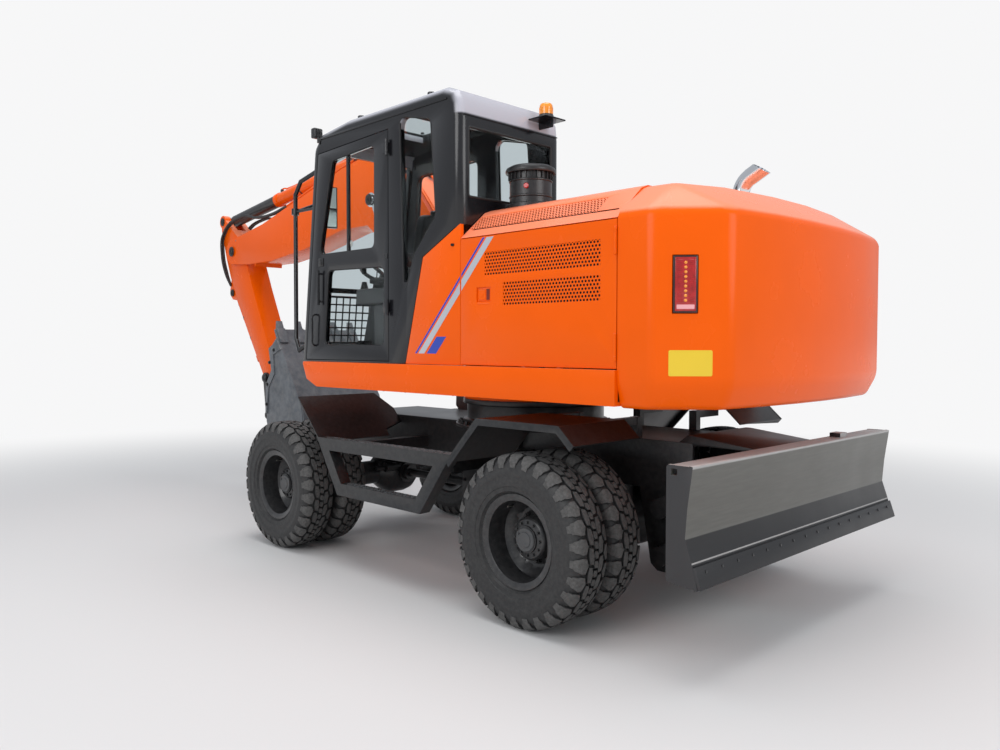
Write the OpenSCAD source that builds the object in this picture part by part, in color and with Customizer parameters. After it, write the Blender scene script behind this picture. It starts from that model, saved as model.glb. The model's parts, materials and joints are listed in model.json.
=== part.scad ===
// Wheeled excavator with twin tyres, a rear dozer blade and a one-piece boom.
// Millimetres, +X towards the working arm, +Y to the cab side, +Z up, tyres on z = 0.

/* [Wheels] */
// Outer radius of the tyres
tyre_r = 527.5; // [515:0.5:540]
// Width of one tyre
tyre_w = 278; // [250:1:290]
// Distance between the middle planes of twin tyres
dual_pitch = 318; // [305:1:330]
// Distance from the machine's middle plane to the middle of a wheel pair
track_half = 952; // [940:1:990]
// Distance between the axles
wheel_base = 2800; // [2750:10:2900]
// Distance from the slew centre back to the rear axle
rear_axle_back = 980; // [960:5:1000]
// Inner radius of the tyre, where it sits on the rim
bead_r = 268; // [250:1:275]
// Thickness of the rim's steel
rim_t = 12; // [8:1:16]
// Radius of the planetary hub
hub_r = 132; // [110:1:150]
// Radius of the wheel spindle
spindle_r = 52; // [40:1:60]
// Distance from the machine's middle plane to the steering pins
kingpin_y = 640; // [625:1:650]

/* [Chassis] */
// Half width of the chassis box
chassis_half_w = 360; // [340:5:370]
// Height of the chassis top plate
chassis_top = 1100; // [1090:5:1120]
// Depth of the chassis box
chassis_h = 310; // [280:5:330]
// Thickness of the chassis plates
chassis_t = 22; // [12:1:30]
// Outer radius of the slew ring
slew_r = 560; // [520:5:600]
// Height of the slew joint above the ground
slew_z = 1290; // [1270:5:1310]
// Height of the upper rail of the steps
step_top_z = 979; // [960:1:1000]
// Height of the lower rail of the steps
step_low_z = 587; // [560:1:620]
// Outer face of the steps and mudguards
step_y = 1220; // [1200:1:1240]
// Depth of the step rails
step_depth = 90; // [60:5:140]

/* [Blade] */
// Half width of the blade
blade_half_w = 1245; // [1150:5:1250]
// Thickness of the blade plates
blade_t = 22; // [14:1:30]
// Half width between the outer faces of the blade arms
arm_out_y = 440; // [420:5:450]
// Width of one blade arm
arm_w = 60; // [40:5:70]
// Reach of the parallel arms
arm_reach = 570; // [540:5:600]
// Rise of the parallel arms at rest
arm_rise = 318; // [290:2:340]
// Height between the lower and upper arms
arm_pitch = 300; // [280:5:320]
// Height of the lower arm pivots on the chassis
arm_low_z = 382; // [370:2:400]

/* [Upper body] */
// Height of the underside of the deck
deck_z = 1370; // [1360:5:1380]
// Thickness of the deck plate
deck_t = 26; // [16:1:30]
// Height of the seam between skirt and panels
skirt_top = 1566; // [1540:2:1580]
// Half width of the skirt
skirt_half_w = 1240; // [1225:1:1245]
// Half width of the side panels
panel_half_w = 1220; // [1200:1:1222]
// Thickness of the body panels
panel_t = 30; // [16:1:36]
// Height where the side panels bend inwards
shoulder_z = 2365; // [2330:5:2380]
// Height of the hood
hood_z = 2568; // [2550:2:2600]
// Half width of the flat hood top
hood_half_w = 950; // [920:5:980]
// Distance from the slew centre back to the counterweight
weight_front = 1720; // [1700:5:1740]
// Distance from the slew centre back to the rear corners of the counterweight
weight_back = 2232; // [2200:1:2240]
// Distance from the slew centre back to the front edge of the service doors
door_seam = 490; // [482:1:500]
// Clearance between panels that meet
seam = 6; // [5:1:8]

/* [Cab] */
// Right side of the cab
cab_y0 = 265; // [255:1:275]
// Left side of the cab
cab_y1 = 1220; // [1205:1:1222]
// Height of the roof
roof_z = 3350; // [3340:5:3400]
// Thickness of the cab walls
cab_t = 46; // [36:1:52]
// Thickness of the window panes
glass_t = 6; // [4:1:8]
// Front edge of the hinge post
post_x = 250; // [240:1:260]

/* [Exhaust] */
// Outer radius of the exhaust pipe
exhaust_r = 58; // [48:1:64]
// Bend radius of the exhaust elbow
exhaust_bend = 130; // [110:5:150]

/* [Arm] */
// Middle plane of the working arm, to the right of the machine's middle
arm_off = 120; // [110:1:130]
// Boom length between its pins
boom_len = 4600; // [4550:10:4700]
// Elevation of the boom at rest
boom_lift = 14.1; // [10:0.1:18]
// Half width of the boom
boom_half_w = 170; // [160:1:176]
// Thickness of the boom and stick plates
arm_t = 14; // [10:1:20]
// Stick length between its pins
stick_len = 2100; // [2050:10:2200]
// Angle of the stick at rest
stick_lift = 61.8; // [58:0.1:64]
// Half width of the stick
stick_half_w = 125; // [115:1:128]
// Width of the bucket
bucket_w = 980; // [800:10:1100]
// Thickness of the bucket's shell
bucket_t = 18; // [12:1:24]
// Number of bucket teeth
tooth_n = 5; // [3:1:6]
// Radius of the main arm pins
pin_r = 40; // [34:1:44]
// Radial clearance of pins in their holes
pin_fit = 0.5; // [0.2:0.1:1]
// Side clearance between pieces that move past each other
side_gap = 5; // [5:1:8]

/* [Cylinders] */
// Radius of the boom cylinder barrels
boom_cyl_r = 75; // [65:1:80]
// Distance of the boom cylinders from the arm's middle plane
boom_cyl_off = 270; // [266:1:280]
// Radius of the stick cylinder barrel
stick_cyl_r = 70; // [60:1:74]
// Radius of the bucket cylinder barrel
bucket_cyl_r = 62; // [52:1:66]
// Radius of the blade cylinder barrel
blade_cyl_r = 55; // [45:1:60]

/* [Hidden] */
$fn = 40;

orange = [0.95, 0.34, 0.06];
black = [0.06, 0.06, 0.065];
grey = [0.3, 0.31, 0.32];
steel = [0.72, 0.73, 0.75];
rubber = [0.05, 0.05, 0.05];
tint = [0.6, 0.72, 0.76, 0.4];

// Places along the machine, measured from the slew centre
swing_x = -1495;
rear_x = -rear_axle_back;
front_x = rear_x + wheel_base;
axle_z = tyre_r;
hinge_x = -1450;
blade_pin_x = hinge_x - arm_reach;
blade_pin_z = arm_low_z + arm_rise;
chassis_low = chassis_top - chassis_h;
deck_top = deck_z + deck_t;
seat = 0.3;
cab_foot = skirt_top + seat;
boom_foot = [430, 1680];
boom_cyl_foot = [1080, 1420];
boom_eye_half = 42;
axle_r = 105;
axle_top = axle_z + 130;
diff_r = 205;

// Places on the boom, along its pin line and above it
boom_cyl_pin = [1750, 950];
stick_cyl_foot = [2430, 1297];
fork_start = 4030;
// Places on the stick, from its lower pin and away from the bucket cylinder
lever_pin = [stick_len + 499, -107];
bucket_cyl_foot = [stick_len - 350, -360];
rocker_pin = [420, 0];
link_pin = [29, -153];
// Places on the bucket, from its main pin
bucket_link_pin = [-253, -228];

// Vector helpers
function unit(v) = v / norm(v);
function left(v) = [-v.y, v.x];
function angle_of(v) = atan2(v.y, v.x);
function turned(v, a) = [v.x * cos(a) - v.y * sin(a), v.x * sin(a) + v.y * cos(a)];

// A closed outline moved inwards by d, for outlines that run anticlockwise
function inset(p, d) = [
    for (i = [0 : len(p) - 1])
        let (
            a = left(unit(p[i] - p[(i + len(p) - 1) % len(p)])),
            b = left(unit(p[(i + 1) % len(p)] - p[i]))
        )
        p[i] + (a + b) * d / (1 + a * b)
];

// An open line moved to its left by d
function beside(p, d) = [
    for (i = [0 : len(p) - 1])
        let (
            a = left(unit(p[max(i, 1)] - p[max(i, 1) - 1])),
            b = left(unit(p[min(i + 1, len(p) - 1)] - p[min(i, len(p) - 2)]))
        )
        p[i] + (a + b) * d / (1 + a * b)
];
function reversed(p) = [for (i = [len(p) - 1 : -1 : 0]) p[i]];
function strip(p, t) = concat(p, reversed(beside(p, t)));

// An outline with each corner turned into an arc of radius r, n steps per corner
function rounded(p, r, n = 4) = [
    for (i = [0 : len(p) - 1])
        let (
            u = unit(p[(i + len(p) - 1) % len(p)] - p[i]),
            v = unit(p[(i + 1) % len(p)] - p[i]),
            half = acos(min(max(u * v, -0.9999), 0.9999)) / 2,
            rr = min(r, 0.45 * tan(half) * min(norm(p[(i + len(p) - 1) % len(p)] - p[i]),
                                               norm(p[(i + 1) % len(p)] - p[i]))),
            c = p[i] + unit(u + v) * rr / sin(half),
            s = angle_of(p[i] + u * rr / tan(half) - c),
            e = angle_of(p[i] + v * rr / tan(half) - c),
            turn = e - s > 180 ? e - s - 360 : e - s < -180 ? e - s + 360 : e - s
        )
        for (k = [0 : n]) c + rr * [cos(s + turn * k / n), sin(s + turn * k / n)]
];

// Frames of reference
module place() translate([swing_x, 0, 0]) children();
module in_boom() translate([boom_foot.x, -arm_off, boom_foot.y]) rotate([0, -boom_lift, 0]) children();
module in_stick() in_boom() translate([boom_len, 0, 0]) rotate([0, boom_lift - stick_lift, 0])
    translate([-stick_len, 0, 0]) children();
module in_bucket() in_stick() rotate([0, stick_lift, 0]) children();
module both() {
    children();
    mirror([0, 1, 0]) children();
}

// A plate drawn in x and z that reaches from y0 to y1
module slab(p, y0, y1) translate([0, y1, 0]) rotate([90, 0, 0]) linear_extrude(y1 - y0) polygon(p);
// Plates on both sides of the middle plane
module slabs(p, y0, y1) both() slab(p, y0, y1);
module box(a, b) translate(a) cube(b - a);
// A round bar across the machine
module bar(p, r, y0, y1) translate([p.x, y0, p.y]) rotate([-90, 0, 0]) cylinder(r = r, h = y1 - y0);
module bars(p, r, y0, y1) both() bar(p, r, y0, y1);
// A round bar along x
module rod_x(x0, x1, r) translate([x0, 0, 0]) rotate([0, 90, 0]) cylinder(r = r, h = x1 - x0);
// A thing that lies along the line from a to b in a vertical plane
module on_line(a, b, y = 0) translate([a.x, y, a.y]) rotate([0, -angle_of(b - a), 0]) children();

// Tube of a hydraulic cylinder from its foot eye, with a gland at the open end
module barrel(r, bore_r, length, eye_r, eye_half, foot_pin_r) {
    difference() {
        union() {
            bar([0, 0], eye_r, -eye_half, eye_half);
            rod_x(0, eye_r + 41, min(eye_half, r) * 0.9);
            rod_x(eye_r + 40, length - 60, r);
            rod_x(length - 60, length, r + 8);
        }
        bar([0, 0], foot_pin_r + pin_fit, -eye_half - 1, eye_half + 1);
        rod_x(eye_r + 25, length + 1, bore_r + pin_fit);
    }
}
// Piston rod from its inner end to its eye, with pin stubs that reach out to stub_half
module piston(r, inner, length, eye_r, eye_half, stub_r, stub_half) {
    rod_x(inner, length, r);
    bar([length, 0], eye_r, -eye_half, eye_half);
    bar([length, 0], stub_r, -stub_half, stub_half);
}

// Undercarriage

chassis_side = [
    [-1640, chassis_top], [-1640, 800], [-1560, 720], [-1560, 300], [-1510, 270], [-1390, 270],
    [-1340, 310], [-1250, chassis_low], [2080, chassis_low], [2150, 830], [2150, 950],
    [1900, chassis_top]
];

module chassis_frame() color(black) place() {
    difference() {
        union() {
            slab(chassis_side, -chassis_half_w, chassis_half_w);
            translate([0, 0, chassis_top - chassis_t]) cylinder(r = slew_r + 60, h = chassis_t);
            both() for (x = [-200, 0, 200])
                translate([x - 10, 0, 0]) rotate([90, 0, 90]) linear_extrude(20)
                    polygon([[chassis_half_w - 1, chassis_low + 60], [chassis_half_w + 90, chassis_top - 60],
                             [chassis_half_w + 90, chassis_top - chassis_t + 1],
                             [chassis_half_w - 1, chassis_top - chassis_t + 1]]);
            box([front_x - 130, -110, axle_z + diff_r], [front_x + 130, 110, chassis_low + 1]);
            both() box([rear_x - 110, 210, axle_top], [rear_x + 110, 320, chassis_low + 1]);
            for (z = [arm_low_z, arm_low_z + arm_pitch])
                bars([hinge_x, z], 68, chassis_half_w - 1, chassis_half_w + 14);
        }
        difference() {
            slab(inset(chassis_side, chassis_t), -chassis_half_w + chassis_t, chassis_half_w - chassis_t);
            box([-1250, -chassis_half_w, 0], [-1230, chassis_half_w, chassis_top]);
        }
        box([-1700, -chassis_half_w + chassis_t, 0],
            [-1250, chassis_half_w - chassis_t, chassis_top - chassis_t]);
        for (z = [arm_low_z, arm_low_z + arm_pitch])
            bar([hinge_x, z], pin_r - 6 + pin_fit, -400, 400);
        translate([0, 0, chassis_low - 1]) cylinder(r = 300, h = 600);
    }
    slabs([[hinge_x - 60, chassis_top - chassis_t], [hinge_x - 30, 920], [hinge_x + 30, 920],
           [hinge_x + 90, chassis_top - chassis_t]], blade_cyl_r + 5, blade_cyl_r + 30);
    bar([hinge_x, arm_low_z + arm_pitch + arm_pitch], 28, -blade_cyl_r - 30, blade_cyl_r + 30);
    slab([[-1540, chassis_top], [-1600, 1146], [-1640, 1146], [-2045, 1100], [-2045, 1086],
          [-1641, 1086], [-1640, chassis_top]], -chassis_half_w + 6, chassis_half_w - 6);
}

module slew_ring() color(black) place() rotate_extrude() polygon([
    [slew_r - 150, chassis_top], [slew_r, chassis_top], [slew_r, chassis_top + 34],
    [slew_r - 30, chassis_top + 40], [slew_r - 30, slew_z - 44], [slew_r, slew_z - 36], [slew_r, slew_z],
    [slew_r - 150, slew_z]
]);

// Axle housing with its differential, from wheel flange to wheel flange
module axle_housing(x, half) {
    bar([x, axle_z], axle_r, -half, half);
    translate([x, 0, axle_z]) rotate([-90, 0, 0]) rotate_extrude() polygon([
        [0, -230], [axle_r, -230], [diff_r - 15, -120], [diff_r, -60], [diff_r, 60], [diff_r - 15, 120],
        [axle_r, 230], [0, 230]
    ]);
    translate([x, 0, axle_z]) rod_x(-230, 230, 95);
}

module front_axle() color(black) place() {
    difference() {
        union() {
            axle_housing(front_x, kingpin_y - 120);
            box([front_x - 100, -90, axle_z], [front_x + 100, 90, axle_z + diff_r]);
            both() yoke();
        }
        both() translate([front_x, kingpin_y, axle_z - 200]) cylinder(r = 34 + pin_fit, h = 400);
    }
    translate([front_x - 175, 0, axle_z + 60]) {
        bar([0, 0], 42, -230, 230);
        bars([0, 0], 20, 229, 330);
    }
    both() box([front_x - 200, 120, axle_z + 20], [front_x - 60, 160, axle_z + 100]);
}
// Fork at the end of the front axle, above and below the knuckle
module yoke() {
    box([front_x - 68, kingpin_y - 160, axle_z - 150], [front_x + 68, kingpin_y - 105, axle_z + 150]);
    for (z = [axle_z - 150, axle_z + 105]) hull() {
        translate([front_x, kingpin_y, z]) cylinder(r = 60, h = 45, $fn = 32);
        box([front_x - 68, kingpin_y - 160, z], [front_x + 68, kingpin_y - 110, z + 45]);
    }
}

module knuckle(side) place() mirror([0, side, 0]) translate([front_x, kingpin_y, axle_z]) {
    translate([0, 0, -150]) cylinder(r = 34, h = 300);
    translate([0, 0, -100]) cylinder(r = 72, h = 200);
    bar([0, 0], 88, 0, 70);
    bar([0, 0], spindle_r, 69, track_half - kingpin_y + 35);
    box([-150, -50, 60], [-20, -10, 95]);
    translate([-150, -30, 60]) cylinder(r = 32, h = 35);
}
module knuckle_left() color(black) knuckle(0);
module knuckle_right() color(black) knuckle(1);

module rear_axle() color(black) place() {
    axle_housing(rear_x, kingpin_y);
    both() box([rear_x - 100, 220, axle_z + 60], [rear_x + 100, 310, axle_top]);
    both() bar([rear_x, axle_z], 150, kingpin_y - 40, kingpin_y);
    both() bar([rear_x, axle_z], spindle_r, kingpin_y - 1, track_half + 35);
}

module driveline() color(grey) place() {
    box([180, -190, 430], [640, 190, 760]);
    box([260, -120, 759], [560, 120, chassis_low]);
    translate([0, 0, axle_z]) {
        rod_x(rear_x + 230, 181, 36);
        rod_x(639, front_x - 230, 36);
        for (x = [rear_x + 230, 140, 639, front_x - 270]) rod_x(x, x + 40, 68);
    }
}

// Side steps: outline of the frame, the mudguards and what carries them
step_outline = [
    [-72, step_low_z - 28], [914, step_low_z - 28], [1190, step_top_z], [-395, step_top_z + 12]
];
rear_guard_line = [
    [-340, 938], [-630, 1240], [-1309, 1240], [-1423, 1136]
];
front_guard_line = [[1473, 1273], [1146, 938]];

// Plan of the sloped plate behind the front tyre, reaching in to the chassis
front_guard_plan = [
    [1100, step_y], [1473, step_y], [1473, 483], [1341, chassis_half_w], [1240, chassis_half_w], [1190, 556],
    [1100, 556]
];

module step_side() {
    difference() {
        slab(step_outline, step_y - step_depth, step_y);
        slab(inset(step_outline, 92), 0, step_y + 1);
    }
    slab(strip(rear_guard_line, 8), chassis_half_w + 240, step_y - 2);
    slab(strip(beside(rear_guard_line, -2), 44), step_y - 14, step_y);
    intersection() {
        slab(strip(front_guard_line, -10), chassis_half_w, step_y);
        translate([0, 0, 800]) linear_extrude(600) polygon(front_guard_plan);
    }
    for (x = [-330, 870]) box([x, chassis_half_w, 862], [x + 90, step_y - step_depth + 10, 948]);
    for (x = [-1240, -760]) {
        box([x, chassis_half_w - 40, chassis_top], [x + 60, chassis_half_w + 12, 1236]);
        box([x + 4, chassis_half_w - 36, 1186], [x + 56, chassis_half_w + 260, 1234.5]);
    }
}

module side_steps() color(black) place() both() step_side();

// Wheels: tyre profile by radius and distance from the tyre's middle plane
tyre_profile = [
    [bead_r, -86], [bead_r + 26, -106], [tyre_r - 150, -tyre_w / 2], [tyre_r - 80, -tyre_w / 2],
    [tyre_r - 16, -tyre_w / 2 + 24], [tyre_r, -60], [tyre_r, 60], [tyre_r - 16, tyre_w / 2 - 24],
    [tyre_r - 80, tyre_w / 2], [tyre_r - 150, tyre_w / 2], [bead_r + 26, 106], [bead_r, 86]
];
// Rim of the outer tyre; the inner one is its mirror image
rim_disc_y = -dual_pitch / 2 + 26;
rim_profile = [
    [bead_r - rim_t, -90], [bead_r - rim_t, rim_disc_y + 80], [bead_r - rim_t - 60, rim_disc_y + 22],
    [hub_r - 10, rim_disc_y], [hub_r - 10, rim_disc_y + 14], [bead_r - rim_t - 66, rim_disc_y + 36],
    [bead_r - 2 * rim_t, rim_disc_y + 92], [bead_r - 2 * rim_t, 100], [bead_r + 18, 112],
    [bead_r + 24, 104.5], [bead_r - 0.3, 86], [bead_r - 0.3, -86], [bead_r + 24, -104.5],
    [bead_r + 18, -112], [bead_r - rim_t, -100]
];
module around_axle(x, y) translate([x, y, axle_z]) rotate([-90, 0, 0]) rotate([0, 0, 90])
    rotate_extrude() children();

module tyre_pair(x, side) place() mirror([0, side, 0])
    for (k = [-1, 1]) around_axle(x, track_half + k * dual_pitch / 2) polygon(tyre_profile);

module rim_pair(x, side) place() mirror([0, side, 0]) {
    around_axle(x, track_half + dual_pitch / 2) polygon(rim_profile);
    translate([0, 2 * track_half, 0]) mirror([0, 1, 0])
        around_axle(x, track_half + dual_pitch / 2) polygon(rim_profile);
    around_axle(x, track_half) polygon([
        [spindle_r + pin_fit, -200], [hub_r - 20, -200], [hub_r - 4, -180], [hub_r - 4, 20],
        [hub_r + 34, 26], [hub_r + 34, 60], [hub_r, 66], [hub_r, 150], [hub_r - 14, 164], [hub_r - 50, 170],
        [hub_r - 50, 184], [0, 184], [0, 60], [spindle_r + pin_fit, 60]
    ]);
}
module rim_front_left() color(black) rim_pair(front_x, 0);
module rim_front_right() color(black) rim_pair(front_x, 1);
module rim_rear_left() color(black) rim_pair(rear_x, 0);
module rim_rear_right() color(black) rim_pair(rear_x, 1);
module tyre_front_left() color(rubber) tyre_pair(front_x, 0);
module tyre_front_right() color(rubber) tyre_pair(front_x, 1);
module tyre_rear_left() color(rubber) tyre_pair(rear_x, 0);
module tyre_rear_right() color(rubber) tyre_pair(rear_x, 1);

// Dozer blade, seen from the side at rest
blade_face = [
    [blade_pin_x - 214, 506], [blade_pin_x - 179, 633], [blade_pin_x - 140, 751], [blade_pin_x - 152, 900],
    [blade_pin_x - 181, 1107]
];
blade_side = concat(blade_face, [
    [blade_pin_x - 40, 1107], [blade_pin_x - 29, 1096], [blade_pin_x - 29, 530], [blade_pin_x - 40, 517]
]);
blade_lug_y = arm_out_y + side_gap;

module blade() color(grey) place() {
    slab(strip(blade_face, -blade_t), -blade_half_w, blade_half_w);
    both() difference() {
        slab(blade_side, blade_half_w - blade_t, blade_half_w);
        box([blade_pin_x - 92, 0, 1056], [blade_pin_x - 57, 2000, 1091]);
    }
    slab([[blade_pin_x - 170, 1089], [blade_pin_x - 45, 1089], [blade_pin_x - 45, 1105],
          [blade_pin_x - 170, 1105]], -blade_half_w + 1, blade_half_w - 1);
    box([blade_pin_x - 130, -660, 1104], [blade_pin_x - 60, -560, 1132]);
    slabs([[blade_pin_x - 130, 620], [blade_pin_x - 20, 640], [blade_pin_x + 60, blade_pin_z],
           [blade_pin_x + 60, blade_pin_z + arm_pitch], [blade_pin_x - 20, blade_pin_z + arm_pitch + 60],
           [blade_pin_x - 140, blade_pin_z + arm_pitch + 50], [blade_pin_x - 120, 800]],
          blade_lug_y, blade_lug_y + 32);
    for (z = [blade_pin_z, blade_pin_z + arm_pitch])
        bars([blade_pin_x, z], pin_r - 6, arm_out_y - arm_w, blade_lug_y + 44);
    // Bolted cutting edge along the foot of the face
    slab(strip([blade_face[0] + [-2, 1], blade_face[1] + [-2, -20]], 16), -blade_half_w + 1,
         blade_half_w - 1);
    slabs([[blade_pin_x - 130, 600], [blade_pin_x - 20, 640], [blade_pin_x + 45, blade_pin_z - 30],
           [blade_pin_x + 45, blade_pin_z + 30], [blade_pin_x - 20, blade_pin_z + 70],
           [blade_pin_x - 125, blade_pin_z + 120]], 50, 74);
    for (z = [620, 820, 1020]) box([blade_pin_x - 135, -blade_half_w + 1, z - 8],
                                   [blade_pin_x - 105, blade_half_w - 1, z + 8]);
}

// One pair of parallel arms, level with the pivots at height z
module arm_pair(z, tube) on_line([hinge_x, z], [blade_pin_x, z + arm_rise])
    let (reach = norm([arm_reach, arm_rise])) {
        both() difference() {
            union() {
                slab([[0, -55], [reach, -48], [reach, 48], [0, 55]], arm_out_y - arm_w, arm_out_y);
                bar([0, 0], 62, arm_out_y - arm_w, arm_out_y);
                bar([reach, 0], 58, arm_out_y - arm_w, arm_out_y);
            }
            bar([reach, 0], pin_r - 6 + pin_fit, 0, arm_out_y + 1);
        }
        bar([0, 0], pin_r - 6, -arm_out_y + 1, arm_out_y - 1);
        if (tube) bar([reach * 0.5, 0], 45, -arm_out_y + arm_w, arm_out_y - arm_w);
    }
module blade_arms() color(black) place() arm_pair(arm_low_z, true);
module blade_links() color(black) place() arm_pair(arm_low_z + arm_pitch, false);

blade_cyl_a = [hinge_x, arm_low_z + 2 * arm_pitch];
blade_cyl_b = [blade_pin_x, blade_pin_z];
blade_cyl_len = norm(blade_cyl_b - blade_cyl_a);
module blade_cylinder() color(black) place() on_line(blade_cyl_a, blade_cyl_b)
    barrel(blade_cyl_r, 30, blade_cyl_len - 70, 50, blade_cyl_r, 28);
module blade_rod() color(steel) place() on_line(blade_cyl_a, blade_cyl_b)
    piston(30, 84, blade_cyl_len, 44, 40, 24, 46);

// Upper body

skirt_side = [
    [-weight_front, deck_z + 4], [1160, deck_z + 4], [1300, deck_z + 60], [1356, skirt_top - 20],
    [1350, skirt_top], [-weight_front, skirt_top]
];
// Opening in the deck for the boom and its cylinders
well = [-arm_off - 360, -arm_off + 360];

module upper_frame() color(orange) place() {
    difference() {
        slab(skirt_side, -skirt_half_w, skirt_half_w);
        box([-weight_front - 1, -skirt_half_w + panel_t, deck_top],
            [1300 - panel_t, skirt_half_w - panel_t, 3000]);
        box([700, well[0], 0], [1400, well[1], 3000]);
        translate([0, 0, deck_z - 1]) cylinder(r = 220, h = 300);
    }
    translate([0, 0, slew_z + 0.5]) difference() {
        cylinder(r = slew_r - 4, h = deck_z - slew_z + 4);
        translate([0, 0, -1]) cylinder(r = slew_r - 150, h = 200);
    }
    // Boom foot brackets with their pin
    let (in_y = boom_half_w + side_gap, out_y = boom_half_w + side_gap + 34)
        translate([0, -arm_off, 0]) {
            both() slab([[-250, deck_top - 2], [760, deck_top - 2], [700, 1470], [590, 1760], [520, 1810],
                         [350, 1810], [250, 1740], [60, 1520]], in_y, out_y);
            bar(boom_foot, pin_r + 4, -out_y - 14, out_y + 14);
            // Feet of the boom cylinders
            for (k = [-1, 1]) translate([0, k * boom_cyl_off, 0]) {
                slabs([[640, deck_z + 1], [1000, deck_z + 1], [1080, 1350], [1140, 1380], [1140, 1470],
                       [1060, 1492], [900, 1470], [690, 1470]], boom_eye_half + 4, boom_eye_half + 30);
                bar(boom_cyl_foot, pin_r - 4, -boom_eye_half - 36, boom_eye_half + 36);
            }
        }
}

// Plan of the counterweight at mid height, with slanted corners and a bowed rear face
corner_x = -1930;
corner_y = panel_half_w - 280;
weight_plan = [
    [-weight_front, panel_half_w], [corner_x, panel_half_w], [-weight_back, corner_y],
    [-weight_back - 46, 560], [-weight_back - 70, 190], [-weight_back - 70, -190],
    [-weight_back - 46, -560], [-weight_back, -corner_y], [corner_x, -panel_half_w],
    [-weight_front, -panel_half_w]
];
module weight_slice(p, z0, z1) translate([0, 0, z0]) linear_extrude(z1 - z0) polygon(p);
module counterweight() color(orange) place() difference() {
    hull() {
        weight_slice(rounded(weight_plan, 60, 3), 1500, 2385);
        weight_slice(concat([[-weight_front, panel_half_w - 30]],
                            [for (i = [1 : 8]) weight_plan[i] * 0.972],
                            [[-weight_front, 30 - panel_half_w]]), deck_z - 8, deck_z);
        weight_slice([[-weight_front, hood_half_w + 20], [-1895, hood_half_w + 5], [-2015, 640],
                      [-2060, 200], [-2060, -200], [-2015, -640], [-1895, -hood_half_w - 5],
                      [-weight_front, -hood_half_w - 20]], hood_z - 40, hood_z - 8);
    }
    box([-weight_front - seat, -2000, 0], [0, 2000, 4000]);
    // Lamp recesses in the slanted corner faces, and the lifting holes in the top
    both() on_corner() box([-lamp_w / 2 - 4, -14, -lamp_h / 2 - 4], [lamp_w / 2 + 4, 20, lamp_h / 2 + 4]);
    both() translate([lift_bore.x, lift_bore.y, lift_bore.z - lift_bore_depth])
        cylinder(r = lift_bore_r, h = lift_bore_depth + 20);
}
// Bores for lifting eyes in the top of the counterweight
lift_bore = [-1850, 620, hood_z - 8];
lift_bore_r = 34;
lift_bore_depth = 120;
// Slanted rear corner of the counterweight: x along the face, y out of it
lamp_share = 0.42;
lamp_place = [corner_x + lamp_share * (-weight_back - corner_x),
              panel_half_w + lamp_share * (corner_y - panel_half_w), 2005];
lamp_w = 124;
lamp_h = 290;
module on_corner() translate(lamp_place)
    rotate([0, 0, angle_of([weight_back + corner_x, panel_half_w - corner_y])]) children();

// Hood over the engine bay, its front wall, and the fixed panels below the cab
hood_section = [
    [-panel_half_w, shoulder_z], [panel_half_w, shoulder_z], [hood_half_w + 60, hood_z - 22],
    [hood_half_w, hood_z], [-hood_half_w, hood_z], [-hood_half_w - 60, hood_z - 22]
];
module across(p, x0, x1) translate([x0, 0, 0]) rotate([90, 0, 90]) linear_extrude(x1 - x0) polygon(p);

module engine_hood() color(orange) place() {
    difference() {
        union() {
            across(hood_section, -weight_front + seam / 2, -door_seam);
            box([-weight_front + seam / 2, -panel_half_w, skirt_top],
                [-weight_front + 40, panel_half_w, shoulder_z + 1]);
            box([-door_seam - 40, -panel_half_w, skirt_top], [-door_seam, panel_half_w, shoulder_z + 1]);
        }
        across(inset(hood_section, panel_t), -weight_front + 40, -door_seam - 40);
        box([-weight_front + 40, -panel_half_w + 60, 0],
            [-door_seam - 40, panel_half_w - 60, shoulder_z + 60]);
        both() box([-weight_front - 5, panel_half_w - panel_t - seam, 0],
                   [-door_seam - seam, 1300, shoulder_z]);
        both() on_bevel() {
            box([-1515, 108, 4], [-510, 214, panel_t + 60]);
            translate([0, 0, -5]) linear_extrude(20) perforation(-1510, -515, 112, 210);
        }
    }
    slab([[cab_side[10].x - seam, skirt_top + 3], cab_side[9] - [seam, 4], cab_side[8] - [seam, 4],
          [cab_side[8].x - seam, skirt_top + 3]], panel_half_w - panel_t, panel_half_w);
}

// Left bevel of the hood: x along the machine, y up the bevel, z into the hood
module on_bevel() translate([0, panel_half_w, shoulder_z])
    rotate([angle_of([hood_half_w + 60 - panel_half_w, hood_z - 22 - shoulder_z]), 0, 0]) children();

// Rows of six-sided holes between x0 and x1, low and high, every other row shifted by half a pitch
hole_pitch = 34;
hole_r = 11.5;
module perforation(x0, x1, low, high) {
    rise = hole_pitch * sin(60);
    rows = floor((high - low) / rise);
    columns = floor((x1 - x0) / hole_pitch - 0.5);
    for (j = [0 : rows - 1]) for (i = [0 : columns - 1])
        translate([x0 + (i + 0.5 + (j % 2) / 2) * hole_pitch, (high + low) / 2 + (j - (rows - 1) / 2) * rise])
            circle(r = hole_r, $fn = 6);
}

// Perforated fields of the service doors: rear end, front end, bottom, top
field_rear = 0;
field_front = 1;
field_low = 2;
field_high = 3;
door_fields = [[-1595, -720, 2136, 2250], [-1595, -880, 1950, 2068]];
sheet_t = 4;

module service_door() difference() {
    box([-weight_front + seam, panel_half_w - panel_t, skirt_top + seam],
        [-door_seam - seam, panel_half_w, shoulder_z - seam]);
    for (f = door_fields) {
        box([f[field_rear], panel_half_w - panel_t - 1, f[field_low]],
            [f[field_front], panel_half_w - sheet_t, f[field_high]]);
        translate([0, panel_half_w + 1, 0]) rotate([90, 0, 0]) linear_extrude(sheet_t + 8)
            perforation(f[field_rear] + 4, f[field_front] - 4, f[field_low] + 3, f[field_high] - 3);
    }
    // Recessed latch
    box([-764, panel_half_w - 12, 1960], [-637, panel_half_w + 1, 2050]);
}
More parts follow.
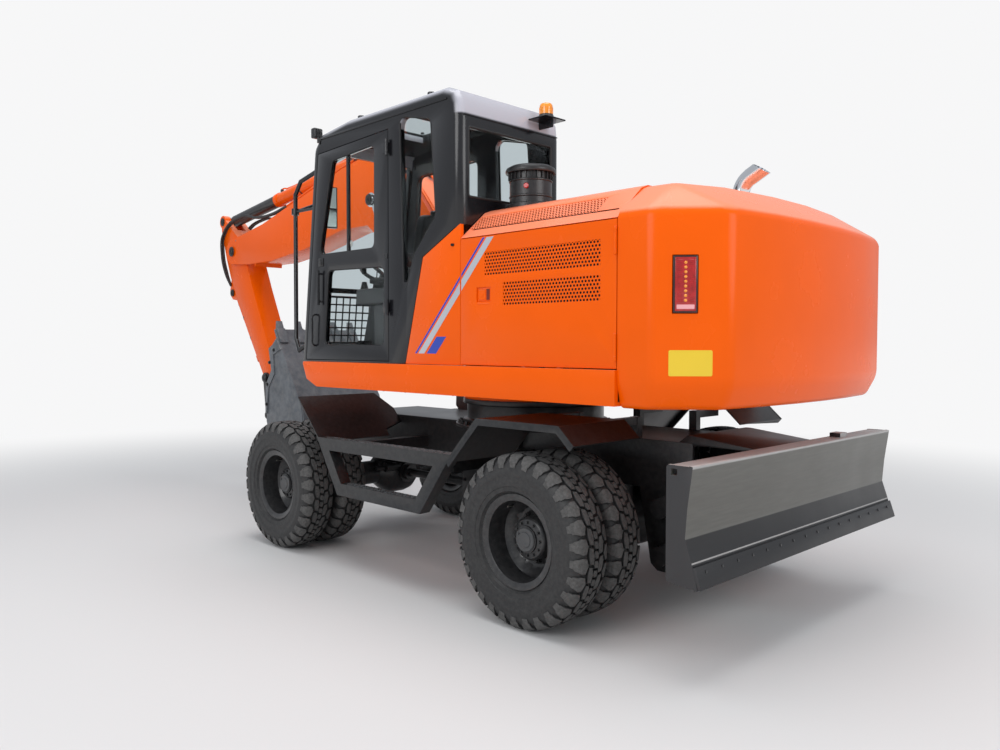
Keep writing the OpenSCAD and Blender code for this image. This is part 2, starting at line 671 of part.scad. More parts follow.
// Hinge knuckles at the rear edge of a service door
module door_knuckles() for (z = [1640, 2200]) translate([-weight_front + 10, panel_half_w + seam, z])
    cylinder(r = 9, h = 90);
module service_door_left() color(orange) place() {
    service_door();
    door_knuckles();
}
module service_door_right() color(orange) place() mirror([0, 1, 0]) {
    service_door();
    door_knuckles();
}

module side_tanks() color(orange) place() {
    across([[-panel_half_w, skirt_top + seat], [-500, skirt_top + seat], [-500, 2300], [130 - panel_half_w, 2300],
            [-panel_half_w, 2190]], -door_seam + seam, 420);
    difference() {
        slab([[430, skirt_top + seat], [1250, skirt_top + seat], [1250, 1800], [1120, 1960], [430, 1960]],
             -panel_half_w, -520);
        box([1220, -1180, 1640], [1260, -560, 1760]);
    }
    translate([60, -860, 2299]) cylinder(r = 66, h = 46);
    for (y = [-1090, -640]) box([560, y, 1959], [680, y + 40, 1985]);
}

module engine_block() color(grey) place() box([-1560, -340, deck_top], [-760, 340, 2250]);

// Cab: side outline, anticlockwise from the front foot
cab_side = [
    [1376, cab_foot], [1170, 3260], [1120, roof_z - 40], [760, roof_z], [-330, roof_z],
    [-420, roof_z - 36], [-468, roof_z - 110], [-480, 3130], [-480, 2462], [-113, 2279], [76, cab_foot]
];
door_side = [
    [post_x + 12, skirt_top + 20], [1330, skirt_top + 20], [1140, 3150], [post_x + 12, 3180]
];
cab_mid_y = (cab_y0 + cab_y1) / 2;

// Windows of the side walls, as outlines in x and z
quarter_window = [[90, 2002], [134, 3247], [-198, 3171], [-250, 2532], [-27, 2306]];
door_upper = [[426, 2380], [1150, 2384], [960, 3080], [421, 3110]];
door_lower = [[314, 1690], [1080, 1690], [1020, 2263], [310, 2246]];
right_window = [[330, 1750], [1180, 1750], [1060, 3100], [330, 3130]];

module cab_frame() color(black) place() {
    cab_shell();
    // Beacon bracket behind the roof, and the rims of the roof hatch and the rain rail
    box([-660, 300, 3246], [-440, 560, 3258]);
    slab([[-560, 3248], [-462, 3170], [-450, 3190], [-450, 3248]], 410, 424);
    translate([520, cab_mid_y, roof_z - 10]) difference() {
        box([-300, -300, 0], [300, 300, 30]);
        box([-262, -262, -1], [262, 262, 40]);
    }
    for (x = [-100, 950]) translate([x, cab_y1 - 90, roof_z - 30]) cylinder(r = 26, h = 56);
    slab([[-380, roof_z - 90], [1120, roof_z - 90], [1120, roof_z - 60], [-380, roof_z - 60]], cab_y1 - 10,
         cab_y1 + 14);
}
module cab_shell() difference() {
    slab(cab_side, cab_y0, cab_y1);
    slab(inset(cab_side, cab_t), cab_y0 + cab_t, cab_y1 - cab_t);
    // Door opening
    slab(inset(door_side, -seam), cab_y1 - cab_t - 1, cab_y1 + 1);
    slab(rounded(quarter_window, 60), cab_y1 - cab_t - 1, cab_y1 + 1);
    slab(rounded(quarter_window, 60), cab_y0 - 1, cab_y0 + cab_t + 1);
    slab(rounded(right_window, 60), cab_y0 - 1, cab_y0 + cab_t + 1);
    // Windscreen, sky window and rear window
    across([[cab_y0 + 70, 1700], [cab_y1 - 70, 1700], [cab_y1 - 70, 3180], [cab_y0 + 70, 3180]], 1000, 1500);
    across([[cab_y0 + 95, 2640], [cab_y1 - 80, 2640], [cab_y1 - 80, 3080], [cab_y0 + 95, 3080]], -600, -400);
    translate([520, cab_mid_y, 3000]) box([-260, -260, 0], [260, 260, 500]);
}

// Front face of the cab at height z
function lean(z) = cab_side[0].x + (z - cab_side[0].y) * (cab_side[1].x - cab_side[0].x)
                   / (cab_side[1].y - cab_side[0].y);
module cab_glass() color(tint) place() {
    slab(inset(rounded(quarter_window, 60), 0.4), cab_y1 - 20 - glass_t, cab_y1 - 20);
    slab(inset(rounded(quarter_window, 60), 0.4), cab_y0 + 20, cab_y0 + 20 + glass_t);
    slab(inset(rounded(right_window, 60), 0.4), cab_y0 + 20, cab_y0 + 20 + glass_t);
    slab([[lean(1701) - 26, 1701], [lean(1701) - 20, 1701], [lean(3179) - 20, 3179], [lean(3179) - 26, 3179]],
         cab_y0 + 70.4, cab_y1 - 70.4);
    box([-460, cab_y0 + 95.4, 2640.4], [-460 + glass_t, cab_y1 - 80.4, 3079.6]);
    translate([520, cab_mid_y, roof_z - 30]) box([-259.6, -259.6, 0], [259.6, 259.6, glass_t]);
}

module cab_door() color(black) place() {
    difference() {
        slab(door_side, cab_y1 - cab_t, cab_y1);
        slab(rounded(door_upper, 50), 1000, 1300);
        slab(rounded(door_lower, 50), 1000, 1300);
    }
    for (z = [1900, 3000]) translate([post_x, cab_y1 + 20, z]) {
        cylinder(r = 14, h = 110);
        box([0, -20, 20], [60, -6, 90]);
    }
    box([760, cab_y1 - cab_t + 12, 2370], [784, cab_y1 - 12, 3115]);
    // Handle bar and its feet
    for (z = [2020, 2230]) box([1100, cab_y1 - 10, z], [1124, cab_y1 + 34, z + 16]);
    translate([1112, cab_y1 + 28, 2000]) cylinder(r = 11, h = 266);
}
module door_glass() color(tint) place() {
    difference() {
        slab(inset(rounded(door_upper, 50), 0.4), cab_y1 - 26 - glass_t, cab_y1 - 26);
        box([759.6, 1000, 2300], [784.4, 1300, 3200]);
    }
    slab(inset(rounded(door_lower, 50), 0.4), cab_y1 - 26 - glass_t, cab_y1 - 26);
}

// Chair and controls stand on the cab floor
floor_z = cab_foot + cab_t;
module operator_chair() color(black) place() {
    box([330, cab_mid_y - 200, floor_z], [720, cab_mid_y + 200, floor_z + 260]);
    slab([[280, floor_z + 260], [790, floor_z + 260], [800, floor_z + 380], [330, floor_z + 370]],
         cab_mid_y - 250, cab_mid_y + 250);
    slab([[200, floor_z + 420], [320, floor_z + 372], [420, floor_z + 372], [310, floor_z + 1050],
          [190, floor_z + 1050]], cab_mid_y - 230, cab_mid_y + 230);
}
module cab_controls() color(black) place() {
    slab([[1000, floor_z], [1180, floor_z], [1000, floor_z + 620], [950, floor_z + 600]],
         cab_mid_y - 60, cab_mid_y + 60);
    translate([960, cab_mid_y, floor_z + 640]) rotate([0, -30, 0]) {
        rotate_extrude() translate([180, 0]) circle(r = 15, $fn = 16);
        box([-175, -15, -10], [175, 15, 10]);
        translate([0, 0, -50]) cylinder(r = 28, h = 58);
    }
    for (k = [-1, 1]) translate([0, cab_mid_y + k * 325, 0]) {
        box([360, -65, floor_z], [820, 65, floor_z + 500]);
        translate([760, 0, floor_z + 499]) cylinder(r = 14, h = 180);
    }
}

// Handrail beside the cab front, bent from one tube, with the mirror on it
rail_r = 17;
rail_path = [
    [1379, 1180, 1700], [1490, 1190, 1650], [1550, 1180, 1740], [1545, 1180, 2900], [1480, 1170, 3000],
    [1213, 1160, 3060]
];
mirror_arm = [[1549, 1180, 2765], [1505, 1040, 2830], [1490, 940, 2830]];
module tube(path, r) for (i = [0 : len(path) - 2]) let (v = path[i + 1] - path[i]) translate(path[i]) {
    sphere(r = r + 0.6);
    rotate([0, acos(v.z / norm(v)), atan2(v.y, v.x)]) cylinder(r = r, h = norm(v));
}
module handrail_mirror() color(black) place() {
    tube(rail_path, rail_r);
    tube(mirror_arm, 12);
    tube([[1545, 1180, 2765], [1243, 1170, 2765]], 11);
    translate([1549, 1180, 2740]) cylinder(r = 30, h = 50);
    translate([1480, 925, 2830]) rotate([0, 0, -12]) {
        box([-24, -80, -175], [22, 80, 160]);
        box([21, -66, -20], [30, 66, 146]);
        box([21, -66, -162], [30, 66, -34]);
    }
}

// Beacon behind the roof, tail lamps in the corners, work lamps at the front of the roof
module lamps() color([0.8, 0.1, 0.1]) place() {
    translate([-570, 430, 3258]) {
        cylinder(r = 74, h = 16);
        translate([0, 0, 15]) cylinder(r = 66, h = 74);
    }
    both() on_corner() box([-lamp_w / 2, -14, -lamp_h / 2], [lamp_w / 2, 12, lamp_h / 2]);
    for (y = [cab_y0 + 30, cab_y1 - 30]) translate([1214, y, roof_z - 60]) {
        box([-32, -36, 0], [24, 36, 76]);
        translate([0, 0, 38]) rod_x(23, 34, 32);
        translate([-30.5, 0, -40]) cylinder(r = 12, h = 41);
    }
}

module air_precleaner() color(black) place() {
    translate([-690, panel_half_w - 430, hood_z]) {
        cylinder(r = 172, h = 40);
        translate([0, 0, 39]) cylinder(r = 163, h = 186);
        translate([0, 0, 224]) rotate_extrude() polygon([
            [0, 0], [187, 0], [187, 26], [168, 48], [110, 66], [0, 72]
        ]);
    }
    // Low box over the air inlet, behind the cab
    slab([[-1120, hood_z], [-520, hood_z], [-520, hood_z + 132], [-600, hood_z + 152],
          [-900, hood_z + 112], [-1120, hood_z + 32]], -420, 300);
}

// Elbow that leaves the hood upright, bends back and ends in a slanted cut
exhaust_turn = 62;
module exhaust_pipe() color(steel) place() translate([-1490, -450, hood_z]) {
    cylinder(r = exhaust_r + 12, h = 30);
    cylinder(r = exhaust_r, h = 152);
    translate([-exhaust_bend, 0, 150]) {
        rotate([90, 0, 0]) rotate_extrude(angle = exhaust_turn) translate([exhaust_bend, 0])
            circle(r = exhaust_r - 1);
        rotate([0, -exhaust_turn, 0]) translate([exhaust_bend, 0, -2]) difference() {
            cylinder(r = exhaust_r + 1, h = 150);
            translate([0, 0, 30]) cylinder(r = exhaust_r - 6, h = 200);
            translate([0, 0, 95]) rotate([0, 28, 0]) box([-200, -200, 0], [200, 200, 200]);
        }
    }
}

// Working arm

boom_outline = [
    [4600, 150], [3963, 419], [3052, 895], [2500, 1180], [2150, 1330], [1750, 1340], [1350, 1170], [0, 150],
    [0, -150], [100, -120], [1750, 620], [1950, 700], [2350, 600], [3018, 293], [3673, 54], [4200, -80],
    [4600, -150]
];

module boom() color(orange) in_boom_placed() {
    difference() {
        union() {
            difference() {
                slab(boom_outline, -boom_half_w, boom_half_w);
                slab(inset(boom_outline, arm_t), -boom_half_w + arm_t, boom_half_w - arm_t);
            }
            for (p = [[0, 0], [boom_len, 0]]) bar(p, 150, -boom_half_w, boom_half_w);
            bars(boom_cyl_pin, 95, boom_half_w - arm_t, boom_half_w + 20);
        }
        box([fork_start, -stick_half_w - side_gap - 5, -400], [5000, stick_half_w + side_gap + 5, 600]);
        bar([0, 0], pin_r + 4 + pin_fit, -300, 300);
        bars(boom_cyl_pin, 40, boom_half_w + 5, boom_half_w + 21);
    }
    box([fork_start - arm_t, -boom_half_w + 1, -70], [fork_start, boom_half_w - 1, 370]);
    bar([boom_len, 0], pin_r, -boom_half_w - 10, boom_half_w + 10);
    slabs([[2260, 1240], [2660, 1080], [2520, 1330], [2450, 1370], [2390, 1360], [2330, 1290]],
          stick_cyl_r + 4, stick_cyl_r + 30);
    bar(stick_cyl_foot, 34, -stick_cyl_r - 40, stick_cyl_r + 40);
}
module in_boom_placed() place() in_boom() children();

// Boom cylinder line, from the foot on the deck to the pin on the boom
boom_pin_abs = boom_foot + turned(boom_cyl_pin, boom_lift);
boom_cyl_len = norm(boom_pin_abs - boom_cyl_foot);
module boom_cylinders() color(orange) place() for (k = [-1, 1])
    on_line(boom_cyl_foot, boom_pin_abs, -arm_off + k * boom_cyl_off)
        barrel(boom_cyl_r, 42, 1180, 64, boom_eye_half, pin_r - 4);
// Reach of the rod pins from their eyes to the bosses on the boom
rod_stub = boom_cyl_off - boom_half_w - 20 - seat;
module boom_rods() color(steel) place() for (k = [-1, 1])
    on_line(boom_cyl_foot, boom_pin_abs, -arm_off + k * boom_cyl_off) {
        rod_x(640, boom_cyl_len, 42);
        bar([boom_cyl_len, 0], 66, -42, 42);
        bar([boom_cyl_len, 0], 36, min(-k * rod_stub, k * 60), max(-k * rod_stub, k * 60));
    }

// Stick outline, along the pin line from the lower pin
stick_outline = [
    [0, -95], [250, -100], [700, -150], [1200, -195], [stick_len - 500, -240], [stick_len - 200, -260],
    [stick_len + 50, -240], [stick_len + 400, -185], [stick_len + 540, -130], [stick_len + 560, -60],
    [stick_len + 460, -30], [stick_len + 200, 90], [stick_len + 80, 155], [stick_len - 80, 165],
    [stick_len - 600, 140], [700, 130], [0, 95]
];
module stick() color(orange) place() in_stick() {
    difference() {
        union() {
            difference() {
                slab(stick_outline, -stick_half_w, stick_half_w);
                slab(inset(stick_outline, arm_t), -stick_half_w + arm_t, stick_half_w - arm_t);
            }
            bar([0, 0], 95, -stick_half_w, stick_half_w);
            bar(rocker_pin, 80, -stick_half_w, stick_half_w);
            bar([stick_len, 0], 150, -stick_half_w, stick_half_w);
            bar(lever_pin, 75, -stick_half_w, stick_half_w);
        }
        bar([0, 0], pin_r + pin_fit, -300, 300);
        bar(rocker_pin, 32 + pin_fit, -300, 300);
        bar([stick_len, 0], pin_r + pin_fit, -300, 300);
        bar(lever_pin, 262, -52, 52);
    }
    slabs([for (p = [[-190, 128], [-70, -40], [10, -70], [70, -40], [210, 104]]) bucket_cyl_foot + p],
          bucket_cyl_r + 5, bucket_cyl_r + 30);
    bar(bucket_cyl_foot, 30, -bucket_cyl_r - 36, bucket_cyl_r + 36);
}

// Stick cylinder, in the boom's frame
lever_in_boom = [boom_len, 0] + turned(lever_pin - [stick_len, 0], stick_lift - boom_lift);
stick_cyl_len = norm(lever_in_boom - stick_cyl_foot);
module stick_cylinder() color(orange) in_boom_placed() on_line(stick_cyl_foot, lever_in_boom)
    barrel(stick_cyl_r, 40, 1640, 64, stick_cyl_r, 34);
module stick_rod() color(steel) in_boom_placed() on_line(stick_cyl_foot, lever_in_boom)
    piston(40, 920, stick_cyl_len, 66, 42, 34, 47);

bucket_cyl_len = norm(link_pin - bucket_cyl_foot);
module bucket_cylinder() color(orange) place() in_stick() on_line(bucket_cyl_foot, link_pin)
    barrel(bucket_cyl_r, 34, 975, 56, bucket_cyl_r, 30);
module bucket_rod() color(steel) place() in_stick() on_line(bucket_cyl_foot, link_pin)
    piston(34, 765, bucket_cyl_len, 50, 38, 30, 44);

// Linkage between stick and bucket: rockers outside, the link between them
lug_in = stick_half_w + side_gap;
lug_out = lug_in + 30;
rocker_in = lug_out + side_gap;
module bucket_rocker() color(black) place() in_stick() {
    on_line(rocker_pin, link_pin) let (reach = norm(link_pin - rocker_pin)) both() {
        slab([[0, -48], [reach, -40], [reach, 40], [0, 48]], rocker_in, rocker_in + 26);
        bar([0, 0], 62, rocker_in, rocker_in + 26);
        bar([reach, 0], 48, rocker_in, rocker_in + 26);
        bar([reach, 0], 28, 62, rocker_in + 34);
    }
    bar(rocker_pin, 32, -rocker_in - 36, rocker_in + 36);
}
module bucket_link() color(black) place() in_stick()
    on_line(link_pin, turned(bucket_link_pin, -stick_lift)) let (reach = 440) difference() {
        union() {
            slab([[0, 46], [100, 88], [230, 104], [360, 84], [reach, 46], [reach, -6], [380, -4],
                  [230, 0], [80, -4], [0, -10]], -stick_half_w, stick_half_w);
            bar([0, 0], 46, -stick_half_w, stick_half_w);
            bar([reach, 0], 46, -stick_half_w, stick_half_w);
        }
        bar([0, 0], 28 + pin_fit, -300, 300);
        bar([0, 0], 215, -58, 58);
    }

// Bucket shell from the lip over the floor and heel to the back edge
bucket_curve = [
    [-607, 833], [-1018, 215], [-1066, 110], [-1080, 10], [-1062, -100], [-980, -215], [-840, -310],
    [-680, -365], [-560, -355], [-485, -300], [-430, -200], [-370, -60]
];
bucket_edge = concat(bucket_curve, [[-385, 310], [-510, 460], [-450, 700]]);
bucket_lip = [-551, 992];
// Plate along the open edge of the bucket's sides
bucket_side_plate = [
    [-620, 790], [-450, 706], [-500, 480], [-385, 322], [-372, 40], [-400, 20], [-440, 300], [-560, 440],
    [-540, 640], [-690, 700]
];
module bucket() color(grey) place() in_bucket() {
    slab(strip(bucket_curve, bucket_t), -bucket_w / 2, bucket_w / 2);
    both() slab(bucket_edge, bucket_w / 2 - bucket_t, bucket_w / 2);
    // Wear strips under the floor and around the heel, and side plates with their cutters
    for (y = [-bucket_w / 2 + 8, -bucket_w / 6, bucket_w / 6 - 70, bucket_w / 2 - 78])
        slab(strip([for (i = [1 : 7]) bucket_curve[i]], -14), y, y + 70);
    slabs(bucket_side_plate, bucket_w / 2 - 1, bucket_w / 2 + 14);
    // Cutting edge, tooth adaptors and teeth
    slab([[-640, 783], [-607, 833], [-560, 905], [-545, 898], [-595, 800], [-622, 772]],
         -bucket_w / 2, bucket_w / 2);
    for (i = [0 : tooth_n - 1]) let (y = (i - (tooth_n - 1) / 2) * (bucket_w - 110) / (tooth_n - 1)) {
        slab([[-672, 770], [-612, 880], [-590, 916], [-553, 905], [-558, 850], [-600, 775]], y - 45, y + 45);
        slab([[-612, 860], [-585, 925], bucket_lip, [-546, 986], [-540, 910], [-570, 840]], y - 34, y + 34);
    }
    // Lugs for the stick and the link
    both() difference() {
        union() {
            slab([[-10, 96], [-373, 30], [-372, -62], [-432, -203], [-490, -305], [-440, -300],
                  [-240, -290], [60, -78]], lug_in, lug_out);
            bar([0, 0], 100, lug_in, lug_out);
            bar(bucket_link_pin, 64, lug_in, lug_out);
        }
        bar(bucket_link_pin, 30, 0, 300);
    }
    bar([0, 0], pin_r, -lug_out - 8, lug_out + 8);
}

chassis_frame();
slew_ring();
front_axle();
rear_axle();
driveline();
side_steps();
knuckle_left();
knuckle_right();
rim_front_left();
rim_front_right();
rim_rear_left();
rim_rear_right();
tyre_front_left();
tyre_front_right();
tyre_rear_left();
tyre_rear_right();
blade();
blade_arms();
blade_links();
blade_cylinder();
blade_rod();
upper_frame();
counterweight();
engine_hood();
side_tanks();
engine_block();
service_door_left();
service_door_right();
cab_frame();
cab_glass();
cab_door();
door_glass();
operator_chair();
cab_controls();
handrail_mirror();
lamps();
air_precleaner();
exhaust_pipe();
boom();
boom_cylinders();
boom_rods();
stick();
stick_cylinder();
stick_rod();
bucket();
bucket_cylinder();
bucket_rod();
bucket_rocker();
bucket_link();
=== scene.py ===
import json
import math

import bmesh
import bpy
from mathutils import Matrix, Vector

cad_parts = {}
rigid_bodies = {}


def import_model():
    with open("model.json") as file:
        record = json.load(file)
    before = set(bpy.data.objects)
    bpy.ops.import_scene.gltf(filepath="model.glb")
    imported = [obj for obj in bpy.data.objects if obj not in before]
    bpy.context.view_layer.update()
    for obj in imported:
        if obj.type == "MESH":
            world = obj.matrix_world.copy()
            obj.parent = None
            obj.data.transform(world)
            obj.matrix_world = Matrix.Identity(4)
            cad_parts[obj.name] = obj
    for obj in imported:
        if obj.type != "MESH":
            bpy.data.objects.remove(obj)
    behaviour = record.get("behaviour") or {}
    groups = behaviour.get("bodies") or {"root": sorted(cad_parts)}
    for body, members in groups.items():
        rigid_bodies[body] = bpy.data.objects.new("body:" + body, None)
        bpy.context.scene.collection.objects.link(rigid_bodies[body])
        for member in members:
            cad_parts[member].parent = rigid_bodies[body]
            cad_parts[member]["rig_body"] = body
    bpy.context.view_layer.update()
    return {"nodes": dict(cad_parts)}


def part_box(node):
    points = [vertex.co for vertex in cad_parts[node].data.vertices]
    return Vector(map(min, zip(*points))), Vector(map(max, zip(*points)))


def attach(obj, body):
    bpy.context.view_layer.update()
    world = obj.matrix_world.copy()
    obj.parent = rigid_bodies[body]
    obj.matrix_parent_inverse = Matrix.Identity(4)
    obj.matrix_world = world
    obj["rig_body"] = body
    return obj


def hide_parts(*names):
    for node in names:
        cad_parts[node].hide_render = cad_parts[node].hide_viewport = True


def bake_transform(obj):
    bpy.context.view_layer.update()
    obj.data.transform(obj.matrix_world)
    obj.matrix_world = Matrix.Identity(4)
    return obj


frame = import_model()
nodes = frame["nodes"]

# Studio: a pale floor that fades into a white surround, with a broad overhead light and two
# soft side lights. The camera stands behind the machine on its left, at a standing eye's height.
scene = bpy.context.scene
scene.view_settings.view_transform = "Standard"


def put(name, data):
    """A new object for this data, linked to the scene."""
    obj = bpy.data.objects.new(name, data)
    scene.collection.objects.link(obj)
    return obj


camera = put("camera", bpy.data.cameras.new("camera"))
camera.data.sensor_width, camera.data.lens, camera.data.clip_end = 36, 29.62, 200
camera.location = (-5.8633, 4.6879, 1.7008)
camera.rotation_euler = [math.radians(a) for a in (87.866, -0.051, -134.544)]
scene.camera = camera


def mesh_of(name, bm):
    """A new mesh from this bmesh, which is freed."""
    mesh = bpy.data.meshes.new(name)
    bm.to_mesh(mesh)
    bm.free()
    return mesh


white_surround = (0.93, 0.93, 0.935, 1)
floor_mesh = bmesh.new()
bmesh.ops.create_grid(floor_mesh, x_segments=1, y_segments=1, size=90)
floor = put("floor", mesh_of("floor", floor_mesh))


def feed(tree, node, inputs):
    """Sets inputs of a shader node, each to a plain value or to another node's output."""
    for name, value in inputs.items():
        if isinstance(value, bpy.types.NodeSocket):
            tree.links.new(value, node.inputs[name])
        else:
            node.inputs[name].default_value = value


def shade(tree, kind, inputs, **options):
    """The outputs of a new shader node with its options and inputs set."""
    node = tree.nodes.new("ShaderNode" + kind)
    for option, value in options.items():
        setattr(node, option, value)
    feed(tree, node, inputs)
    return node.outputs


def object_place(tree):
    return shade(tree, "TexCoord", {})["Object"]


def new_material(name):
    mat = bpy.data.materials.new(name)
    mat.use_nodes = True
    return mat, mat.node_tree, mat.node_tree.nodes["Principled BSDF"]


floor_paint, tree, floor_shader = new_material("pale_floor")
feed(tree, floor_shader, {"Base Color": (0.66, 0.655, 0.65, 1), "Roughness": 0.9})
distance = shade(tree, "VectorMath", {0: object_place(tree)}, operation="LENGTH")["Value"]
fade = shade(tree, "MapRange", {"Value": distance, "From Min": 4.0, "From Max": 11},
             interpolation_type="SMOOTHSTEP")["Result"]
far_floor = shade(tree, "Emission", {"Color": white_surround})[0]
floor_mix = shade(tree, "MixShader", {0: fade, 1: floor_shader.outputs[0], 2: far_floor})[0]
feed(tree, tree.nodes["Material Output"], {"Surface": floor_mix})
floor.data.materials.append(floor_paint)

scene.world = bpy.data.worlds.new("studio")
scene.world.use_nodes = True
tree = scene.world.node_tree
sky = tree.nodes["Background"]
feed(tree, sky, {"Color": (0.86, 0.90, 0.96, 1), "Strength": 0.6})
backdrop = shade(tree, "Background", {"Color": white_surround, "Strength": 1.0})[0]
seen = shade(tree, "LightPath", {})["Is Camera Ray"]
sky_mix = shade(tree, "MixShader", {0: seen, 1: sky.outputs[0], 2: backdrop})[0]
feed(tree, tree.nodes["World Output"], {"Surface": sky_mix})

for name, place, aim, size, power in (("sky_panel", (-2, 1, 11), (0, 0, 1), 9, 680),
                                      ("left_panel", (-3, 10, 6), (-0.5, 0, 1.4), 6, 320),
                                      ("rear_panel", (-11, 0, 5), (-1, 0, 1.2), 5, 210)):
    lamp = put(name, bpy.data.lights.new(name, "AREA"))
    lamp.data.shape, lamp.data.size, lamp.data.energy = "DISK", size, power
    lamp.location = place
    lamp.rotation_euler = (Vector(aim) - Vector(place)).to_track_quat("-Z", "Y").to_euler()


# Chassis: a welded box frame in satin black with both axles, their housings and the gearbox.
# Its plates get rounded edges here, and bolts hold the covers and the counter-flanges.
slew_axis_x = 1.495


def at(x, y, z):
    """A point given in millimetres from the slew axis on the ground, in the frame's metres."""
    return Vector((x / 1000 - slew_axis_x, y / 1000, z / 1000))


def colour_ramp(tree, value, stops):
    """The colour that a value picks from stops, each a position and a colour."""
    node = tree.nodes.new("ShaderNodeValToRGB")
    elements = node.color_ramp.elements
    for k, (position, colour) in enumerate(stops):
        stop = elements[k] if k < 2 else elements.new(1.0)
        stop.position, stop.color = position, (*colour, 1)
    tree.links.new(value, node.inputs["Fac"])
    return node.outputs["Color"]


def mixed(tree, share, a, b, blend="MIX"):
    return shade(tree, "Mix", {"Factor": share, "A": a, "B": b}, data_type="RGBA", blend_type=blend)["Result"]


def finish_of(name, colour, roughness, metallic=0.0, mottle=0.06, mottle_scale=3.0, grain=0.0,
              grain_scale=400.0, coat=0.0, dust=None, dust_scale=30.0, specular=0.5):
    """A mottled finish. Grain is the depth of its fine bumps, and dust is a colour and its share."""
    mat, tree, shader = new_material(name)
    place = object_place(tree)
    cloud = shade(tree, "TexNoise", {"Vector": place, "Scale": mottle_scale, "Detail": 6})["Fac"]
    tone = colour_ramp(tree, cloud, [(0.3, [c * (1 - mottle) for c in colour]),
                                     (0.75, [min(1, c * (1 + mottle)) for c in colour])])
    if dust:
        specks = shade(tree, "TexNoise", {"Vector": place, "Scale": dust_scale, "Detail": 12,
                                          "Roughness": 0.7})["Fac"]
        share = shade(tree, "MapRange", {"Value": specks, "From Min": 0.4, "From Max": 0.75,
                                         "To Max": dust[3]})["Result"]
        tone = mixed(tree, share, tone, (*dust[:3], 1))
    uneven = 0.08
    spread = shade(tree, "MapRange", {"Value": cloud, "To Min": max(0.02, roughness - uneven),
                                      "To Max": min(1.0, roughness + uneven)})["Result"]
    feed(tree, shader, {"Base Color": tone, "Roughness": spread, "Metallic": metallic,
                        "Specular IOR Level": specular, "Coat Weight": coat, "Coat Roughness": 0.06})
    if grain:
        pits = shade(tree, "TexNoise", {"Vector": place, "Scale": grain_scale, "Detail": 3})["Fac"]
        bump = shade(tree, "Bump", {"Height": pits, "Strength": grain, "Distance": 0.001})["Normal"]
        feed(tree, shader, {"Normal": bump})
    return mat


def keep_piece(name, bm, body, slot, *materials, sharp=32):
    """Makes an object of a bmesh, shaded smooth but for its sharp edges, which rides on a body."""
    for face in bm.faces:
        face.smooth = True
    for edge in bm.edges:
        edge.smooth = len(edge.link_faces) == 2 and edge.calc_face_angle(0) < math.radians(sharp)
    obj = put(name, mesh_of(name, bm))
    for material in materials:
        obj.data.materials.append(material)
    if body:
        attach(obj, body)
    return obj


def add_piece(name, bm, body, slot, *materials, sharp=32):
    bmesh.ops.recalc_face_normals(bm, faces=bm.faces)
    return keep_piece(name, bm, body, slot, *materials, sharp=sharp)


def soften(bm, edges, width, segments=1, **options):
    """Rounds edges over; with one segment they are chamfered."""
    return bmesh.ops.bevel(bm, geom=list(edges), offset=width, affect="EDGES", segments=segments, profile=0.5,
                           material=-1, **options)


def cut_by(bm, cutter, operation="DIFFERENCE"):
    """Cuts a mesh by another closed mesh, and gives the result as a new one."""
    body, tool = [put("cut", mesh_of("cut", part)) for part in (bm, cutter)]
    carve = body.modifiers.new("cut", "BOOLEAN")
    carve.object, carve.operation, carve.solver = tool, operation, "EXACT"
    bpy.context.view_layer.update()
    result = bmesh.new()
    result.from_mesh(body.evaluated_get(bpy.context.evaluated_depsgraph_get()).data)
    for obj in (body, tool):
        bpy.data.objects.remove(obj)
    return result


def eased(node, width, slot, *materials, sharp=28, cutter=None, operation="DIFFERENCE", keep=None):
    """A copy of a solid whose hard edges are rounded over, which then stands for that solid. A
    cutter shapes it first, and keep picks the separate lumps of it that stay."""
    weld, shortest = 2e-5, 3.5 * width
    bm = bmesh.new()
    bm.from_mesh(nodes[node].data)
    bmesh.ops.remove_doubles(bm, verts=bm.verts, dist=weld)
    if cutter:
        bm = cut_by(bm, cutter, operation)
        bmesh.ops.remove_doubles(bm, verts=bm.verts, dist=weld)
    bmesh.ops.dissolve_limit(bm, angle_limit=math.radians(0.6), verts=bm.verts, edges=bm.edges)
    waiting = set(bm.verts) if keep else set()
    while waiting:
        lump, reached = set(), [waiting.pop()]
        while reached:
            vert = reached.pop()
            lump.add(vert)
            near = {e.other_vert(vert) for e in vert.link_edges} - lump
            reached += near
            waiting -= near
        if not keep(sum((v.co for v in lump), Vector()) / len(lump)):
            bmesh.ops.delete(bm, geom=list(lump), context="VERTS")
    for face in bm.faces:
        face.material_index = 0
    hard = [e for e in bm.edges if len(e.link_faces) == 2 and e.calc_length() > shortest
            and e.calc_face_angle(0) > math.radians(sharp)]
    soften(bm, hard, width, 2, clamp_overlap=True, loop_slide=True)
    bmesh.ops.triangulate(bm, faces=[f for f in bm.faces if len(f.verts) > 4])
    obj = keep_piece(node + "_shell", bm, nodes[node]["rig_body"], slot, *materials, sharp=30)
    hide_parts(node)
    return obj


def rod(bm, a, b, r, sides=20, r2=None, chamfer=0.0):
    """A round bar from a to b, r thick at a and r2 at b, with its ends chamfered."""
    turn = (b - a).to_track_quat("Z", "Y").to_matrix().to_4x4()
    made = bmesh.ops.create_cone(bm, cap_ends=True, segments=sides, radius1=r,
                                 radius2=r if r2 is None else r2, depth=(b - a).length,
                                 matrix=Matrix.Translation((a + b) / 2) @ turn)
    if chamfer:
        soften(bm, [e for e in {e for v in made["verts"] for e in v.link_edges}
                    if any(len(f.verts) == sides for f in e.link_faces)], chamfer)


